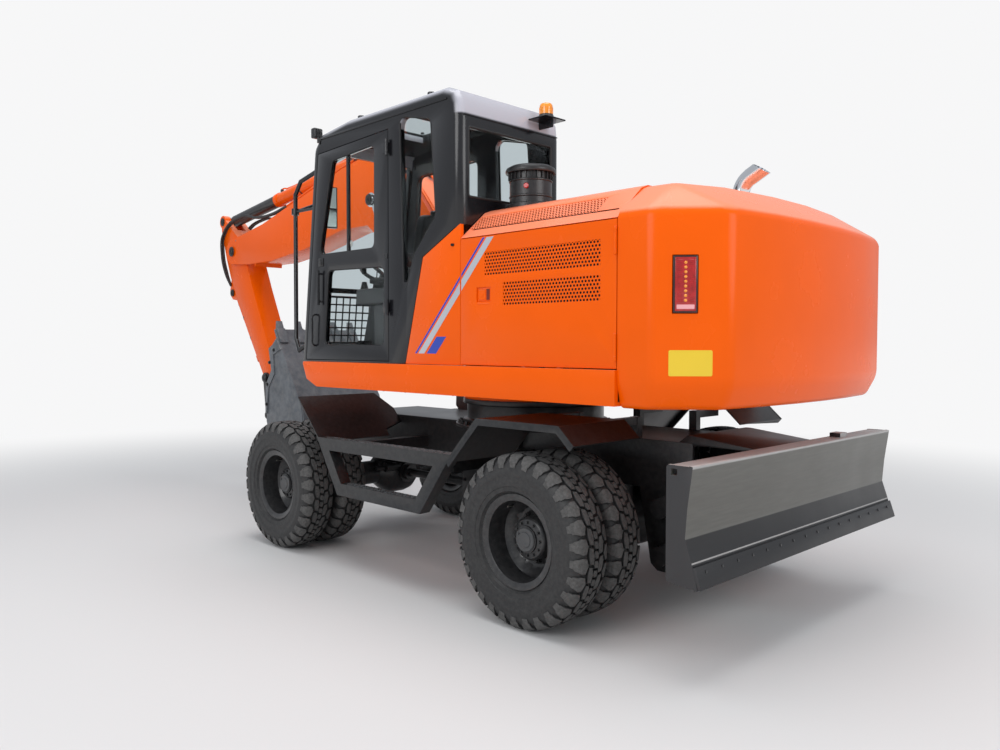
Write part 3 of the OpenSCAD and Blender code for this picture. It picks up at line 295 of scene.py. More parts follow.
def block(bm, low, high, soft=0.004, segments=1, turn=None, material=0):
    """An upright box between two corners, with its edges rounded over; turn moves it afterwards."""
    low, high = Vector(low), Vector(high)
    made = bmesh.ops.create_cube(bm, size=1, matrix=Matrix.Translation((low + high) / 2)
                                 @ Matrix.Diagonal((*[abs(s) for s in high - low], 1)))
    faces = {f for v in made["verts"] for f in v.link_faces}
    if soft:
        grown = soften(bm, {e for v in made["verts"] for e in v.link_edges}, soft, segments)
        faces = {f for v in grown["verts"] for f in v.link_faces} | {f for f in faces if f.is_valid}
    for face in faces:
        face.material_index = material
    if turn:
        bmesh.ops.transform(bm, matrix=turn, verts=list({v for f in faces for v in f.verts}))


def bolt(bm, place, way, r, h, washer=True):
    """A hexagon head on a washer, standing on place and pointing along way."""
    way = Vector(way).normalized()
    foot = Vector(place)
    if washer:
        rod(bm, foot, foot + way * h * 0.22, r * 1.5, sides=16)
        foot = foot + way * h * 0.2
    rod(bm, foot, foot + way * h * 0.7, r, sides=6)
    rod(bm, foot + way * h * 0.7, foot + way * h * 0.82, r, sides=6, r2=r * 0.78)


def around(count, r, start=0.0):
    """Points spaced evenly round a circle, as two coordinates in its plane."""
    angles = [math.tau * (k + start) / count for k in range(count)]
    return [(r * math.cos(a), r * math.sin(a)) for a in angles]


black_paint = finish_of("black_enamel", (0.012, 0.0122, 0.0135), 0.33, mottle=0.25, grain=0.12,
                        grain_scale=220, dust=(0.085, 0.083, 0.08, 0.32))
for name in ("chassis_frame", "front_axle", "rear_axle", "driveline"):
    eased(name, 0.004, "black_paint", black_paint)
for name in ("knuckle_left", "knuckle_right", "side_steps"):
    eased(name, 0.003, "black_paint", black_paint)

bright_bolt = finish_of("plated_bolt", (0.42, 0.41, 0.38), 0.38, metallic=0.9, mottle=0.2, mottle_scale=60)
front_axle_x, rear_axle_x, axle_z = 1820, -980, 527.5
bolts = bmesh.new()
for side in (-1, 1):
    for x in (rear_axle_x, front_axle_x):
        for ahead, up in around(12, 179.4):
            bolt(bolts, at(x + ahead, side * 96, axle_z + up), (0, side, 0), 0.009, 0.012)
    for x in (205, 320, 500, 615):
        for z in (460, 595, 730):
            bolt(bolts, at(x, side * 190, z), (0, side, 0), 0.011, 0.016)
add_piece("axle_bolts", bolts, "undercarriage", "black_paint", black_paint)


# Slew ring: two forged rings with a row of balls between them, bolted to the chassis top by
# forty bolts.
eased("slew_ring", 0.003, "black_paint", black_paint)
bolts = bmesh.new()
for ahead, left in around(40, 590):
    bolt(bolts, at(ahead, left, 1100), (0, 0, 1), 0.012, 0.022)
add_piece("slew_bolts", bolts, "undercarriage", "black_paint", black_paint)


# Steps: box-section frames along both sides, with anti-slip studs on the top rail and on the low
# rail.
worn_edge = finish_of("worn_black_edge", (0.11, 0.115, 0.12), 0.32, mottle=0.3, mottle_scale=14, grain=0.1)
treads = bmesh.new()
for side in (-1, 1):
    for x0, x1, low, fall in ((20, 830, 653.2, 0.0), (-300, 1100, 992.4, 0.00757)):
        count = int((x1 - x0) / 42)
        for k in range(count):
            for j in range(3):
                x = x0 + (k + 0.5) * (x1 - x0) / count + (10 if j == 1 else -10)
                stud = at(x, side * (1152 + 24 * j), low - fall * (x + 395))
                turn = Matrix.Translation(stud) @ Matrix.Rotation(0.7 if (k + j) % 2 else -0.7, 4, "Z")
                bmesh.ops.create_cube(treads, size=1, matrix=turn @ Matrix.Diagonal((0.026, 0.007, 0.004, 1)))
add_piece("step_studs", treads, "undercarriage", "black_paint", worn_edge)


# Blade: a curved steel face with a bolted cutting edge and side plates. The upper half is satin
# grey, the foot and the ends are black, and a bright line runs over the bolted edge.
def plane_facing(tree):
    """The three parts of the surface's own direction."""
    return shade(tree, "SeparateXYZ", {"Vector": shade(tree, "NewGeometry", {})["Normal"]})


def banded_paint(name, bands, ends, roughness=0.42):
    """A paint in level bands, each a height and a colour, with scratch marks and another colour on the ends.
    """
    mat = finish_of(name, (0.1, 0.1, 0.1), roughness, mottle=0.2, grain=0.18, grain_scale=160)
    tree = mat.node_tree
    place = object_place(tree)
    foot, span = 0.5, 0.65
    height = shade(tree, "MapRange", {"Value": shade(tree, "SeparateXYZ", {"Vector": place})["Z"],
                                      "From Min": foot, "From Max": foot + span})["Result"]
    band = colour_ramp(tree, height, [((z - foot) / span, colour) for z, colour in bands])
    stretch = shade(tree, "Mapping", {"Vector": place, "Scale": (3.0, 0.25, 3.0)})["Vector"]
    scratch = shade(tree, "TexNoise", {"Vector": stretch, "Scale": 26, "Detail": 9})["Fac"]
    marks = shade(tree, "MapRange", {"Value": scratch, "From Min": 0.35, "From Max": 0.8,
                                     "To Min": 0.92, "To Max": 1.1})["Result"]
    worn = mixed(tree, 1.0, band, marks, "MULTIPLY")
    sideways = shade(tree, "Math", {0: plane_facing(tree)["Y"]}, operation="ABSOLUTE")["Value"]
    on_end = shade(tree, "MapRange", {"Value": sideways, "From Min": 0.6, "From Max": 0.8})["Result"]
    feed(tree, tree.nodes["Principled BSDF"], {"Base Color": mixed(tree, on_end, worn, (*ends, 1))})
    return mat


black_band, grey_band, bright_band = (0.011, 0.011, 0.0125), (0.105, 0.102, 0.092), (0.40, 0.39, 0.38)
blade_paint = banded_paint("blade_paint", [
    (0.50, (0.03, 0.03, 0.032)), (0.515, black_band), (0.628, black_band), (0.630, bright_band),
    (0.634, bright_band), (0.637, black_band), (0.744, black_band), (0.748, (0.12, 0.118, 0.108)),
    (0.766, grey_band), (1.092, (0.118, 0.115, 0.104)), (1.099, bright_band)], ends=(0.028, 0.027, 0.029))
eased("blade", 0.003, "grey_paint", blade_paint)
for name, soft in (("blade_arms", 0.004), ("blade_links", 0.004), ("blade_cylinder", 0.003)):
    eased(name, soft, "black_paint", black_paint)
chrome = finish_of("chromed_rod", (0.74, 0.75, 0.77), 0.12, metallic=1.0, mottle=0.02, mottle_scale=20)
eased("blade_rod", 0.003, "rod_steel", chrome)
bolts = bmesh.new()
for k in range(16):
    bolt(bolts, at(-2226.5, -1160 + 2320 * k / 15, 585), (-1, 0, 0.28), 0.009, 0.005, washer=False)
add_piece("edge_bolts", bolts, "blade", "grey_paint", black_paint)


def hose(name, points, r, body, material, smooth=True, ring=False):
    """A hose or pipe of radius r through the points, as a mesh."""
    curve = bpy.data.curves.new(name, "CURVE")
    curve.dimensions = "3D"
    curve.bevel_depth, curve.bevel_resolution, curve.resolution_u = r, 2, 6
    curve.use_fill_caps = True
    run = curve.splines.new("BEZIER" if smooth else "POLY")
    spots = run.bezier_points if smooth else run.points
    spots.add(len(points) - 1)
    for spot, point in zip(spots, points):
        spot.co = point if smooth else (*point, 1)
        if smooth:
            spot.handle_left_type = spot.handle_right_type = "AUTO"
    run.use_cyclic_u = ring
    drawn = put(name + "_line", curve)
    bpy.context.view_layer.update()
    mesh = bpy.data.meshes.new_from_object(drawn.evaluated_get(bpy.context.evaluated_depsgraph_get()))
    bpy.data.objects.remove(drawn)
    mesh.name = name
    mesh.materials.clear()
    mesh.materials.append(material)
    obj = put(name, mesh)
    if body:
        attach(obj, body)
    return obj


hose_rubber = finish_of("hose_rubber", (0.016, 0.016, 0.017), 0.55, mottle=0.15, grain=0.35, grain_scale=700,
                        dust=(0.07, 0.068, 0.065, 0.4))
blade_run = [(-1380, 60, 1040), (-1420, 78, 980), (-1470, 84, 935), (-1540, 78, 905), (-1585, 60, 890)]
for k, side in enumerate((-1, 1)):
    hose("blade_hose_%d" % k, [at(x, side * y, z) for x, y, z in blade_run], 0.011, "undercarriage",
         hose_rubber)


# Wheels: pressed steel rims, dished deep on the outside, with their beads and a spacer between the
# twins. The hub carries ten wheel nuts, a planetary cover with its bolts, and a tyre valve.
rim_paint = finish_of("rim_enamel", (0.014, 0.014, 0.0155), 0.30, mottle=0.2, grain=0.08, coat=0.2,
                      dust=(0.09, 0.088, 0.085, 0.45))
cap_paint = finish_of("hub_cap_enamel", (0.055, 0.057, 0.06), 0.38, mottle=0.2, grain=0.1,
                      dust=(0.12, 0.115, 0.11, 0.4))
for corner, x, side in (("front_left", front_axle_x, 1), ("front_right", front_axle_x, -1),
                        ("rear_left", rear_axle_x, 1), ("rear_right", rear_axle_x, -1)):
    def on_hub(ahead, out, up):
        """A point on this hub: ahead of and above its axle, and out from the machine's middle."""
        return at(x + ahead, side * out, axle_z + up)

    eased("rim_" + corner, 0.002, "black_paint", rim_paint)
    nuts = bmesh.new()
    for ahead, up in around(10, 150, start=0.5):
        foot = on_hub(ahead, 1012, up)
        for h, r, edges, soft in ((0.006, 0.02, 18, 0), (0.024, 0.0155, 6, 0.002), (0.036, 0.01, 12, 0.002)):
            rod(nuts, foot, foot + Vector((0, side * h, 0)), r, sides=edges, chamfer=soft)
    for ahead, up in around(12, 101):
        bolt(nuts, on_hub(ahead, 1117.5, up), (0, side, 0), 0.008, 0.012)
    add_piece("hub_nuts_" + corner, nuts, "wheels_" + corner, "black_paint", black_paint)
    cap = bmesh.new()
    rod(cap, on_hub(0, 1136.3, 0), on_hub(0, 1146, 0), 0.074, sides=40, chamfer=0.005)
    rod(cap, on_hub(0, 1146, 0), on_hub(0, 1149.5, 0), 0.048, sides=32, chamfer=0.002)
    bolt(cap, on_hub(52, 1146, 30), (0, side, 0), 0.009, 0.007)
    add_piece("hub_cap_" + corner, cap, "wheels_" + corner, "black_paint", cap_paint)
    valve = bmesh.new()
    rod(valve, on_hub(160, 1078, 170), on_hub(166, 1118, 176), 0.004, sides=10)
    rod(valve, on_hub(165, 1108, 175), on_hub(167, 1124, 177), 0.0062, sides=10, chamfer=0.001)
    add_piece("valve_" + corner, valve, "wheels_" + corner, "rod_steel", bright_bolt)


# Tyres: eight moulded rubber tyres in pairs. Each has a carcass with sidewall ribs and thirty
# pitches of tread: shoulder blocks that run down the sidewall, and three rows of skewed blocks
# between them with narrow grooves. The block tops are paler from road dust.
tyre_r = 0.5275
groove = 0.017
crown = [(0.0, tyre_r), (0.045, 0.5267), (0.080, 0.5235), (0.104, 0.5165), (0.120, 0.5025),
         (0.130, 0.4825), (0.136, 0.4555), (0.1375, 0.4225)]
crown_run = [0.0]
for (y0, r0), (y1, r1) in zip(crown, crown[1:]):
    crown_run.append(crown_run[-1] + math.hypot(y1 - y0, r1 - r0))
crown_out = [Vector((0, 1))]
for (y0, r0), (y1, r1) in zip(crown, crown[2:] + crown[-1:]):
    crown_out.append(Vector((r0 - r1, y1 - y0)).normalized())


def lay_on_crown(bm, verts):
    """Bends flat tread (x along the tread, y across it, z out of it) round a tyre at the origin."""
    for vert in verts:
        side, run = (1, vert.co.y) if vert.co.y >= 0 else (-1, -vert.co.y)
        run = min(run, crown_run[-1])
        i = max(k for k in range(len(crown) - 1) if crown_run[k] <= run)
        t = (run - crown_run[i]) / (crown_run[i + 1] - crown_run[i])
        out = crown_out[i].lerp(crown_out[i + 1], t).normalized()
        y, r = Vector(crown[i]).lerp(Vector(crown[i + 1]), t) + out * vert.co.z
        a = vert.co.x / tyre_r
        vert.co = (r * math.sin(a), side * y, r * math.cos(a))


def raise_faces(bm, faces, by, **options):
    """Raises faces by a vector, with walls under their rims; gives what was raised."""
    raised = bmesh.ops.extrude_face_region(bm, geom=faces, **options)["geom"]
    bmesh.ops.translate(bm, vec=by, verts=[v for v in raised if isinstance(v, bmesh.types.BMVert)])
    return raised


def tread_block(bm, outline, side=1, shift=0.0, chamfer=0.0022):
    """One rubber block raised from its outline, with its upper edges chamfered."""
    sunk = groove + 0.003
    foot = bm.faces.new([bm.verts.new((x + shift, y * side, -sunk)) for x, y in outline])
    head = [f for f in raise_faces(bm, [foot], (0, 0, sunk)) if isinstance(f, bmesh.types.BMFace)][0]
    head.material_index = 1
    soften(bm, head.edges, chamfer)


def lathe(bm, profile, axis, steps, centre=(0, 0, 0), closed=True):
    """Turns a line of points round an axis."""
    spots = [bm.verts.new(point) for point in profile]
    lines = [bm.edges.new(pair) for pair in zip(spots, spots[1:] + (spots[:1] if closed else []))]
    bmesh.ops.spin(bm, geom=spots + lines, cent=centre, axis=axis, angle=math.tau, steps=steps,
                   use_merge=True)


pitches = 30
pitch = math.tau * tyre_r / pitches
tyre = bmesh.new()
shoulder = [(0.004, 0.082), (0.048, 0.065), (0.092, 0.079), (0.098, 0.108), (0.090, 0.128), (0.088, 0.156),
            (0.080, 0.160), (0.078, 0.188), (0.026, 0.190), (0.024, 0.160), (0.016, 0.156), (0.012, 0.128),
            (0.002, 0.108)]
middle = [(0.002, 0.021), (0.052, 0.018), (0.098, 0.029), (0.104, 0.058), (0.056, 0.063), (0.008, 0.053)]
short = [(0.002, -0.016), (0.030, -0.019), (0.046, -0.010), (0.048, 0.014), (0.020, 0.018), (0.004, 0.008)]
for side, shoulder_at, middle_at in ((-1, 0.5, 0.92), (1, 0.0, 0.42)):
    tread_block(tyre, shoulder, side, pitch * shoulder_at)
    tread_block(tyre, middle, side, pitch * middle_at)
for share in (0.2, 0.7):
    tread_block(tyre, short, 1, pitch * share)
for run in crown_run[2:-1]:
    for side in (-1, 1):
        bmesh.ops.bisect_plane(tyre, geom=tyre.verts[:] + tyre.edges[:] + tyre.faces[:], dist=1e-5,
                               plane_co=(0, side * run, 0), plane_no=(0, 1, 0))
lay_on_crown(tyre, tyre.verts)
bmesh.ops.spin(tyre, geom=tyre.verts[:] + tyre.edges[:] + tyre.faces[:], cent=(0, 0, 0), axis=(0, 1, 0),
               angle=math.tau * (pitches - 1) / pitches, steps=pitches - 1, use_duplicate=True)
bmesh.ops.recalc_face_normals(tyre, faces=tyre.faces)

carcass = bmesh.new()
half = [(y - out[0] * groove * depth, r - out[1] * groove * depth)
        for (y, r), out, depth in zip(crown, crown_out, (1, 1, 1, 0.95, 0.85, 0.6, 0.25, 0))]
half += [(0.1385, 0.410), (0.1385, 0.400), (0.135, 0.392), (0.136, 0.364), (0.1365, 0.340), (0.1345, 0.333),
         (0.131, 0.331), (0.126, 0.311), (0.1265, 0.304), (0.121, 0.300), (0.112, 0.297), (0.108, 0.2935),
         (0.095, 0.276), (0.070, 0.272)]
lathe(carcass, [(0, -y, r) for y, r in reversed(half)] + [(0, y, r) for y, r in half[1:]], (0, 1, 0), 96)
bmesh.ops.remove_doubles(carcass, verts=carcass.verts, dist=1e-5)
bmesh.ops.recalc_face_normals(carcass, faces=carcass.faces)
carcass_mesh = mesh_of("carcass", carcass)
tyre.from_mesh(carcass_mesh)
bpy.data.meshes.remove(carcass_mesh)
one_tyre = mesh_of("one_tyre", tyre)

rubber = finish_of("tyre_rubber", (0.016, 0.016, 0.017), 0.55, mottle=0.12, mottle_scale=9, grain=0.25,
                   grain_scale=350, dust=(0.065, 0.063, 0.06, 0.55), dust_scale=40)
dusty_rubber = finish_of("dusty_tread", (0.062, 0.0605, 0.059), 0.72, mottle=0.18, mottle_scale=30, grain=0.3,
                         grain_scale=350, dust=(0.16, 0.155, 0.15, 0.6), dust_scale=60)
half_twin = 0.159
for corner in ("front_left", "front_right", "rear_left", "rear_right"):
    low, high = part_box("tyre_" + corner)
    pair = bmesh.new()
    for side in (-1, 1):
        fresh = len(pair.verts)
        pair.from_mesh(one_tyre)
        pair.verts.ensure_lookup_table()
        middle = (low + high) / 2 + Vector((0, side * half_twin, 0))
        bmesh.ops.transform(pair, verts=pair.verts[fresh:], matrix=Matrix.Translation(middle)
                            @ Matrix.Rotation(0.05 + 0.07 * side, 4, "Y"))
    both = keep_piece("tyres_" + corner, pair, "wheels_" + corner, "tyre_rubber", rubber, dusty_rubber,
                      sharp=26)
    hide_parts("tyre_" + corner)
bpy.data.meshes.remove(one_tyre)


# Swing frame: the welded deck with its orange skirt, and the brackets for the boom's foot and for
# the boom cylinders. Its pins are held by a plate and two bolts at each end.
orange = finish_of("orange_enamel", (0.88, 0.110, 0.0), 0.26, mottle=0.025, grain=0.04, grain_scale=240,
                   specular=0.16)


def painted_sky_sheen(material, pale, low, high, share, foot=0.0, rearward=False):
    """Paints a sky reflection: mixes a paler colour into a paint above a height where it looks up, or to the
    rear.
    """
    tree = material.node_tree
    shader = tree.nodes["Principled BSDF"]
    plain = shader.inputs["Base Color"].links[0].from_socket
    facing = plane_facing(tree)
    look = facing["Z"]
    if rearward:
        away = shade(tree, "Math", {0: facing["X"], 1: -1.0}, operation="MULTIPLY")[0]
        look = shade(tree, "Math", {0: away, 1: look}, operation="MAXIMUM")[0]
    sheen_share = shade(tree, "MapRange", {"Value": look, "From Min": low, "From Max": high, "To Max": share},
                   interpolation_type="SMOOTHSTEP")["Result"]
    height = shade(tree, "SeparateXYZ", {"Vector": object_place(tree)})["Z"]
    above = shade(tree, "MapRange", {"Value": height, "From Min": foot, "From Max": foot + 0.012})["Result"]
    both = shade(tree, "Math", {0: sheen_share, 1: above}, operation="MULTIPLY")[0]
    feed(tree, shader, {"Base Color": mixed(tree, both, plain, (*pale, 1))})


# Painted sky reflection: faces of the orange paint that look up are mixed toward a pale salmon.
painted_sky_sheen(orange, (1.0, 0.46, 0.32), 0.45, 0.8, 0.42)
eased("upper_frame", 0.005, "orange_paint", orange)


def pin_end(bm, place, side, r):
    """The end of a pin on one side: a thick washer, its keeper plate and the keeper's bolts."""
    way = Vector((0, side, 0))
    rod(bm, place, place + way * 0.008, r * 1.45, sides=36, chamfer=0.002)
    rod(bm, place + way * 0.008, place + way * 0.014, r * 0.98, sides=32, chamfer=0.002)
    for up in (0.45, -0.45):
        bolt(bm, place + way * 0.014 + Vector((0, 0, r * up)), way, r * 0.2, r * 0.2, washer=False)
    rod(bm, place + way * 0.014, place + way * 0.022, 0.0045, sides=10)


def pin_ends(bm, place, ends):
    """Both ends of pins across the arm, each given by its x, half length, z and radius."""
    for side in (-1, 1):
        for x, half_length, z, r in ends:
            pin_end(bm, place(x, side * half_length, z), side, r)


def on_frame(x, y, z):
    """A point on the swing frame, with y from the middle of the arm."""
    return at(x, y + boom_y, z)


boom_y = -120
pins = bmesh.new()
pin_ends(pins, on_frame, ((430, 223.3, 1680, 0.046), (1080, 348.3, 1420, 0.036)))
for side in (-1, 1):
    rod(pins, on_frame(1080, side * 191.7, 1420), on_frame(1080, side * 187.7, 1420), 0.05, sides=36,
        chamfer=0.001)
add_piece("frame_pins", pins, "upper_body", "black_paint", black_paint)
screws = bmesh.new()
for x in range(-1600, 1150, 250):
    for side in (-1, 1):
        bolt(screws, at(x, side * 1160, 1373.8), (0, 0, -1), 0.009, 0.008)
add_piece("skirt_screws", screws, "upper_body", "black_paint", black_paint)


# Counterweight: one heavy casting with soft creases, painted like the body. Its joint with the
# hood is a dark seam, and a blank yellow plate is riveted to each rear corner.
sides = ((1, "left"), (-1, "right"))
seam_x, lamp_recess = -1720.3, (-2056.84, 1102.4, 2005)


def rear_corner(side):
    """The frame of the lamp recess in a slanted rear corner: x along the face, y out of it."""
    slant = math.atan2(280, 302)
    return (Matrix.Diagonal((1, side, 1, 1)) @ Matrix.Translation(at(*lamp_recess))
            @ Matrix.Rotation(slant, 4, "Z"))


lowest, highest, top_edge = 1362, 2560, 2385
weight = bmesh.new()
plan = [(seam_x, 1220), (-1930, 1220), (-2232, 940), (-2278, 560), (-2302, 190)]
top_plan = [(seam_x, 970), (-1895, 955), (-2015, 640), (-2060, 200)]
for z, outline, share in ((lowest, plan, 0.972), (1500, plan, 1), (top_edge, plan, 1), (highest, top_plan, 1)):
    for x, y in outline:
        for side in (-1, 1):
            weight.verts.new(at(x if x == seam_x else x * share, side * y * share, z))
bmesh.ops.convex_hull(weight, input=weight.verts)
bmesh.ops.dissolve_limit(weight, angle_limit=0.02, verts=weight.verts, edges=weight.edges)
front = at(seam_x - 0.7, 0, 0).x
creases = [e for e in weight.edges if len(e.link_faces) == 2 and e.calc_face_angle(0) > 0.1
           and min(v.co.x for v in e.verts) < front]
soften(weight, creases, 0.034, 5, clamp_overlap=True)
cutters = bmesh.new()
for side in (-1, 1):
    block(cutters, (-0.066, -0.014, -0.149), (0.066, 0.05, 0.149), 0.004, 2, turn=rear_corner(side))
    rod(cutters, at(-1850, side * 620, 2440), at(-1850, side * 620, 2640), 0.034, sides=40)
bmesh.ops.recalc_face_normals(cutters, faces=cutters.faces)
casting = keep_piece("counterweight_casting", cut_by(weight, cutters), "upper_body", "orange_paint", orange,
                     sharp=24)
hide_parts("counterweight")

yellow = finish_of("yellow_plate", (0.80, 0.55, 0.02), 0.35, mottle=0.04, coat=0.3)
for side, name in sides:
    sign = bmesh.new()
    bmesh.ops.create_cube(sign, size=1, matrix=Matrix.Translation((-0.029, 0.0009, -0.399))
                          @ Matrix.Diagonal((0.221, 0.0012, 0.132, 1)))
    soften(sign, [e for e in sign.edges if abs((e.verts[0].co - e.verts[1].co).y) > 0.001], 0.008, 4)
    for x in (-0.131, 0.073):
        for z in (-0.456, -0.342):
            rod(sign, Vector((x, 0.0014, z)), Vector((x, 0.0028, z)), 0.004, sides=12, r2=0.0025)
    bmesh.ops.transform(sign, matrix=rear_corner(side), verts=sign.verts)
    add_piece("corner_plate_" + name, sign, "upper_body", "orange_paint", yellow)


# Tail lamps: moulded red lenses in a dark housing, set in the corner recesses. A column of amber
# light points runs down the middle, a pale bar closes the foot, and four screws hold the lens.
red_lens = finish_of("red_lens", (0.42, 0.008, 0.010), 0.16, mottle=0.2, mottle_scale=40, coat=0.6)
amber = finish_of("amber_lens", (0.95, 0.30, 0.02), 0.14, mottle=0.15, mottle_scale=80, coat=0.7)
pale_bar = finish_of("pale_lens", (0.85, 0.40, 0.42), 0.2, mottle=0.1, coat=0.4)
lamp_black = finish_of("lamp_housing", (0.03, 0.012, 0.013), 0.35, mottle=0.2, coat=0.2)
for side, name in sides:
    lamp = bmesh.new()
    block(lamp, (-0.062, -0.014, -0.145), (0.062, 0.006, 0.145), 0.005, 2, material=1)
    block(lamp, (-0.053, 0.0055, -0.136), (0.053, 0.0118, 0.136), 0.004, 2)
    for k in range(23):
        z = -0.092 + 0.0095 * k
        for x in (-0.046, 0.014):
            block(lamp, (x, 0.0112, z), (x + 0.032, 0.0132, z + 0.006), 0.0008)
    for k in range(9):
        spot = bmesh.ops.create_uvsphere(lamp, u_segments=12, v_segments=8, radius=0.0085,
                                         matrix=Matrix.Translation((0, 0.0115, -0.082 + 0.0238 * k)))
        for face in {f for v in spot["verts"] for f in v.link_faces}:
            face.material_index = 2
    block(lamp, (-0.045, 0.0112, -0.126), (0.045, 0.0138, -0.103), 0.002, material=3)
    for x in (-0.046, 0.046):
        for z in (-0.129, 0.129):
            rod(lamp, Vector((x, 0.0115, z)), Vector((x, 0.0138, z)), 0.004, sides=12)
    bmesh.ops.transform(lamp, matrix=rear_corner(side), verts=lamp.verts)
    piece = add_piece("tail_lamp_" + name, lamp, "upper_body", "lamp_lens", red_lens, lamp_black, amber,
                      pale_bar)
    if side > 0:
        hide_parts("lamps")


# Hood and service doors: pressed orange panels with perforated fields. The doors hang on knuckle
# hinges at the rear, have a recessed latch with a key lock, and sit in black rubber seals.
def perforated(bm, low, high, turn, pitch=0.0235, hole=0.0082, thickness=0.0016):
    """A sheet with rows of six-sided holes between two corners (x, y) of its own plane."""
    rise = pitch * math.sin(math.radians(60))
    half, flat = pitch / 2, math.cos(math.radians(30))
    fresh = bmesh.new()
    for j in range(round((high[1] - low[1]) / rise)):
        for i in range(round((high[0] - low[0]) / pitch)):
            place = Vector((low[0] + (i + (j % 2) / 2) * pitch, low[1] + (j + 0.5) * rise, 0))
            bmesh.ops.create_circle(fresh, cap_ends=True, segments=6, radius=half / flat,
                                    matrix=Matrix.Translation(place))
    cells = fresh.faces[:]
    bmesh.ops.inset_individual(fresh, faces=cells, thickness=half - hole * flat, use_even_offset=True)
    bmesh.ops.delete(fresh, geom=cells, context="FACES")
    bmesh.ops.remove_doubles(fresh, verts=fresh.verts, dist=1e-4)
    bmesh.ops.solidify(fresh, geom=fresh.faces, thickness=thickness)
    bmesh.ops.transform(fresh, matrix=turn, verts=fresh.verts)
    sheet = mesh_of("sheet", fresh)
    bm.from_mesh(sheet)
    bpy.data.meshes.remove(sheet)


seal = finish_of("rubber_seal", (0.010, 0.010, 0.011), 0.6, mottle=0.1, grain=0.2)
upright = Matrix.Rotation(math.radians(90), 4, "X")
for side, name in sides:
    windows, sheets, screens = bmesh.new(), bmesh.new(), bmesh.new()
    for x0, x1, z0, z1 in ((-1606, -708, 2122, 2262), (-1606, -868, 1936, 2072)):
        block(windows, at(x0, side * 1216 - 40, z0), at(x1, side * 1216 + 40, z1), 0)
        perforated(sheets, (x0 / 1000 - 1.5, z0 / 1000 - 0.004), (x1 / 1000 - 1.488, z1 / 1000 + 0.008),
                   Matrix.Translation((0, side * 1.2180, 0)) @ upright)
        block(screens, at(x0 + 0.5, side * 1194 - 1, z0 + 0.5), at(x1 - 0.5, side * 1194 + 1, z1 - 0.5), 0)
    bmesh.ops.recalc_face_normals(windows, faces=windows.faces)
    eased("service_door_" + name, 0.004, "orange_paint", orange, cutter=windows)
    add_piece("door_sheets_" + name, sheets, "service_door_" + name, "orange_paint", orange)
    add_piece("door_screens_" + name, screens, "service_door_" + name, "black_plastic", seal)
windows, sheets, screens = bmesh.new(), bmesh.new(), bmesh.new()
bevel_foot, bevel_head = (1220, 2365), (1010, 2546)
fall = math.atan2(bevel_head[1] - bevel_foot[1], bevel_head[0] - bevel_foot[0])
for side in (1, -1):
    bevel_plane = (Matrix.Diagonal((1, side, 1, 1)) @ Matrix.Translation(at(0, *bevel_foot))
                   @ Matrix.Rotation(fall, 4, "X"))
    block(windows, (-1.525, 0.092, -0.03), (-0.500, 0.226, 0.09), 0, turn=bevel_plane)
    block(screens, (-1.5245, 0.0925, 0.024), (-0.5005, 0.2255, 0.026), 0, turn=bevel_plane)
    perforated(sheets, (-1.523, 0.094), (-0.492, 0.230), bevel_plane @ Matrix.Translation((0, 0, 0.0026)))
bmesh.ops.recalc_face_normals(windows, faces=windows.faces)
eased("engine_hood", 0.004, "orange_paint", orange, cutter=windows)
add_piece("hood_sheets", sheets, "upper_body", "orange_paint", orange)
add_piece("hood_screens", screens, "upper_body", "black_plastic", seal)
eased("side_tanks", 0.006, "orange_paint", orange)
slot_red = finish_of("latch_slot", (0.16, 0.008, 0.0), 0.5, mottle=0.1)
for side, name in sides:
    latch = bmesh.new()
    for x0, x1, y0, y1, z0, z1, soft, material in (
            (-758, -643, 1208.3, 1212.3, 1966, 2044, 0.002, 0),
            (-714, -652, 1212, 1216, 1974, 2036, 0.003, 0),
            (-748, -720, 1212, 1214, 1972, 2038, 0.0005, 1),
            (-752, -648, 1220, 1222, 1946, 1951, 0.001, 0)):
        block(latch, at(x0, side * y0, z0), at(x1, side * y1, z1), soft, material=material)
    rod(latch, at(-684, side * 1216, 2005), at(-684, side * 1218.5, 2005), 0.011, sides=24, chamfer=0.001)
    add_piece("door_latch_" + name, latch, "service_door_" + name, "orange_paint", orange, slot_red)
    hinge = bmesh.new()
    for z in (1640, 2200):
        for low, high in ((z + 90.3, z + 118), (z - 28, z - 0.3)):
            rod(hinge, at(-1710, side * 1226, low), at(-1710, side * 1226, high), 0.009, chamfer=0.001)
    add_piece("hinge_pins_" + name, hinge, "upper_body", "orange_paint", orange)

gap = bmesh.new()
block(gap, at(-484, 1192, 1566.4), at(66, 1216, 1568.9), 0)
block(gap, at(-431, 1219.6, 2324), at(-403, 1221.4, 2340), 0.007, 4)
add_piece("side_panel_seal", gap, "upper_body", "black_plastic", seal)
trim = bmesh.new()
for x in (-1560, -1180, -800):
    for y in (-700, -250, 250):
        bolt(trim, at(x, y, 2568), (0, 0, 1), 0.008, 0.007)
for y in (-70, 50):
    block(trim, at(-1640, y, 2568.3), at(-1628, y + 20, 2600), 0.002)
rod(trim, at(-1634, -80, 2604), at(-1634, 80, 2604), 0.007, sides=16, chamfer=0.002)
add_piece("hood_fasteners", trim, "upper_body", "black_paint", black_paint)

silver_film = finish_of("silver_film", (0.58, 0.60, 0.64), 0.25, metallic=0.5, mottle=0.06, coat=0.4)
blue_film = finish_of("blue_film", (0.012, 0.045, 0.42), 0.25, mottle=0.06, coat=0.4)


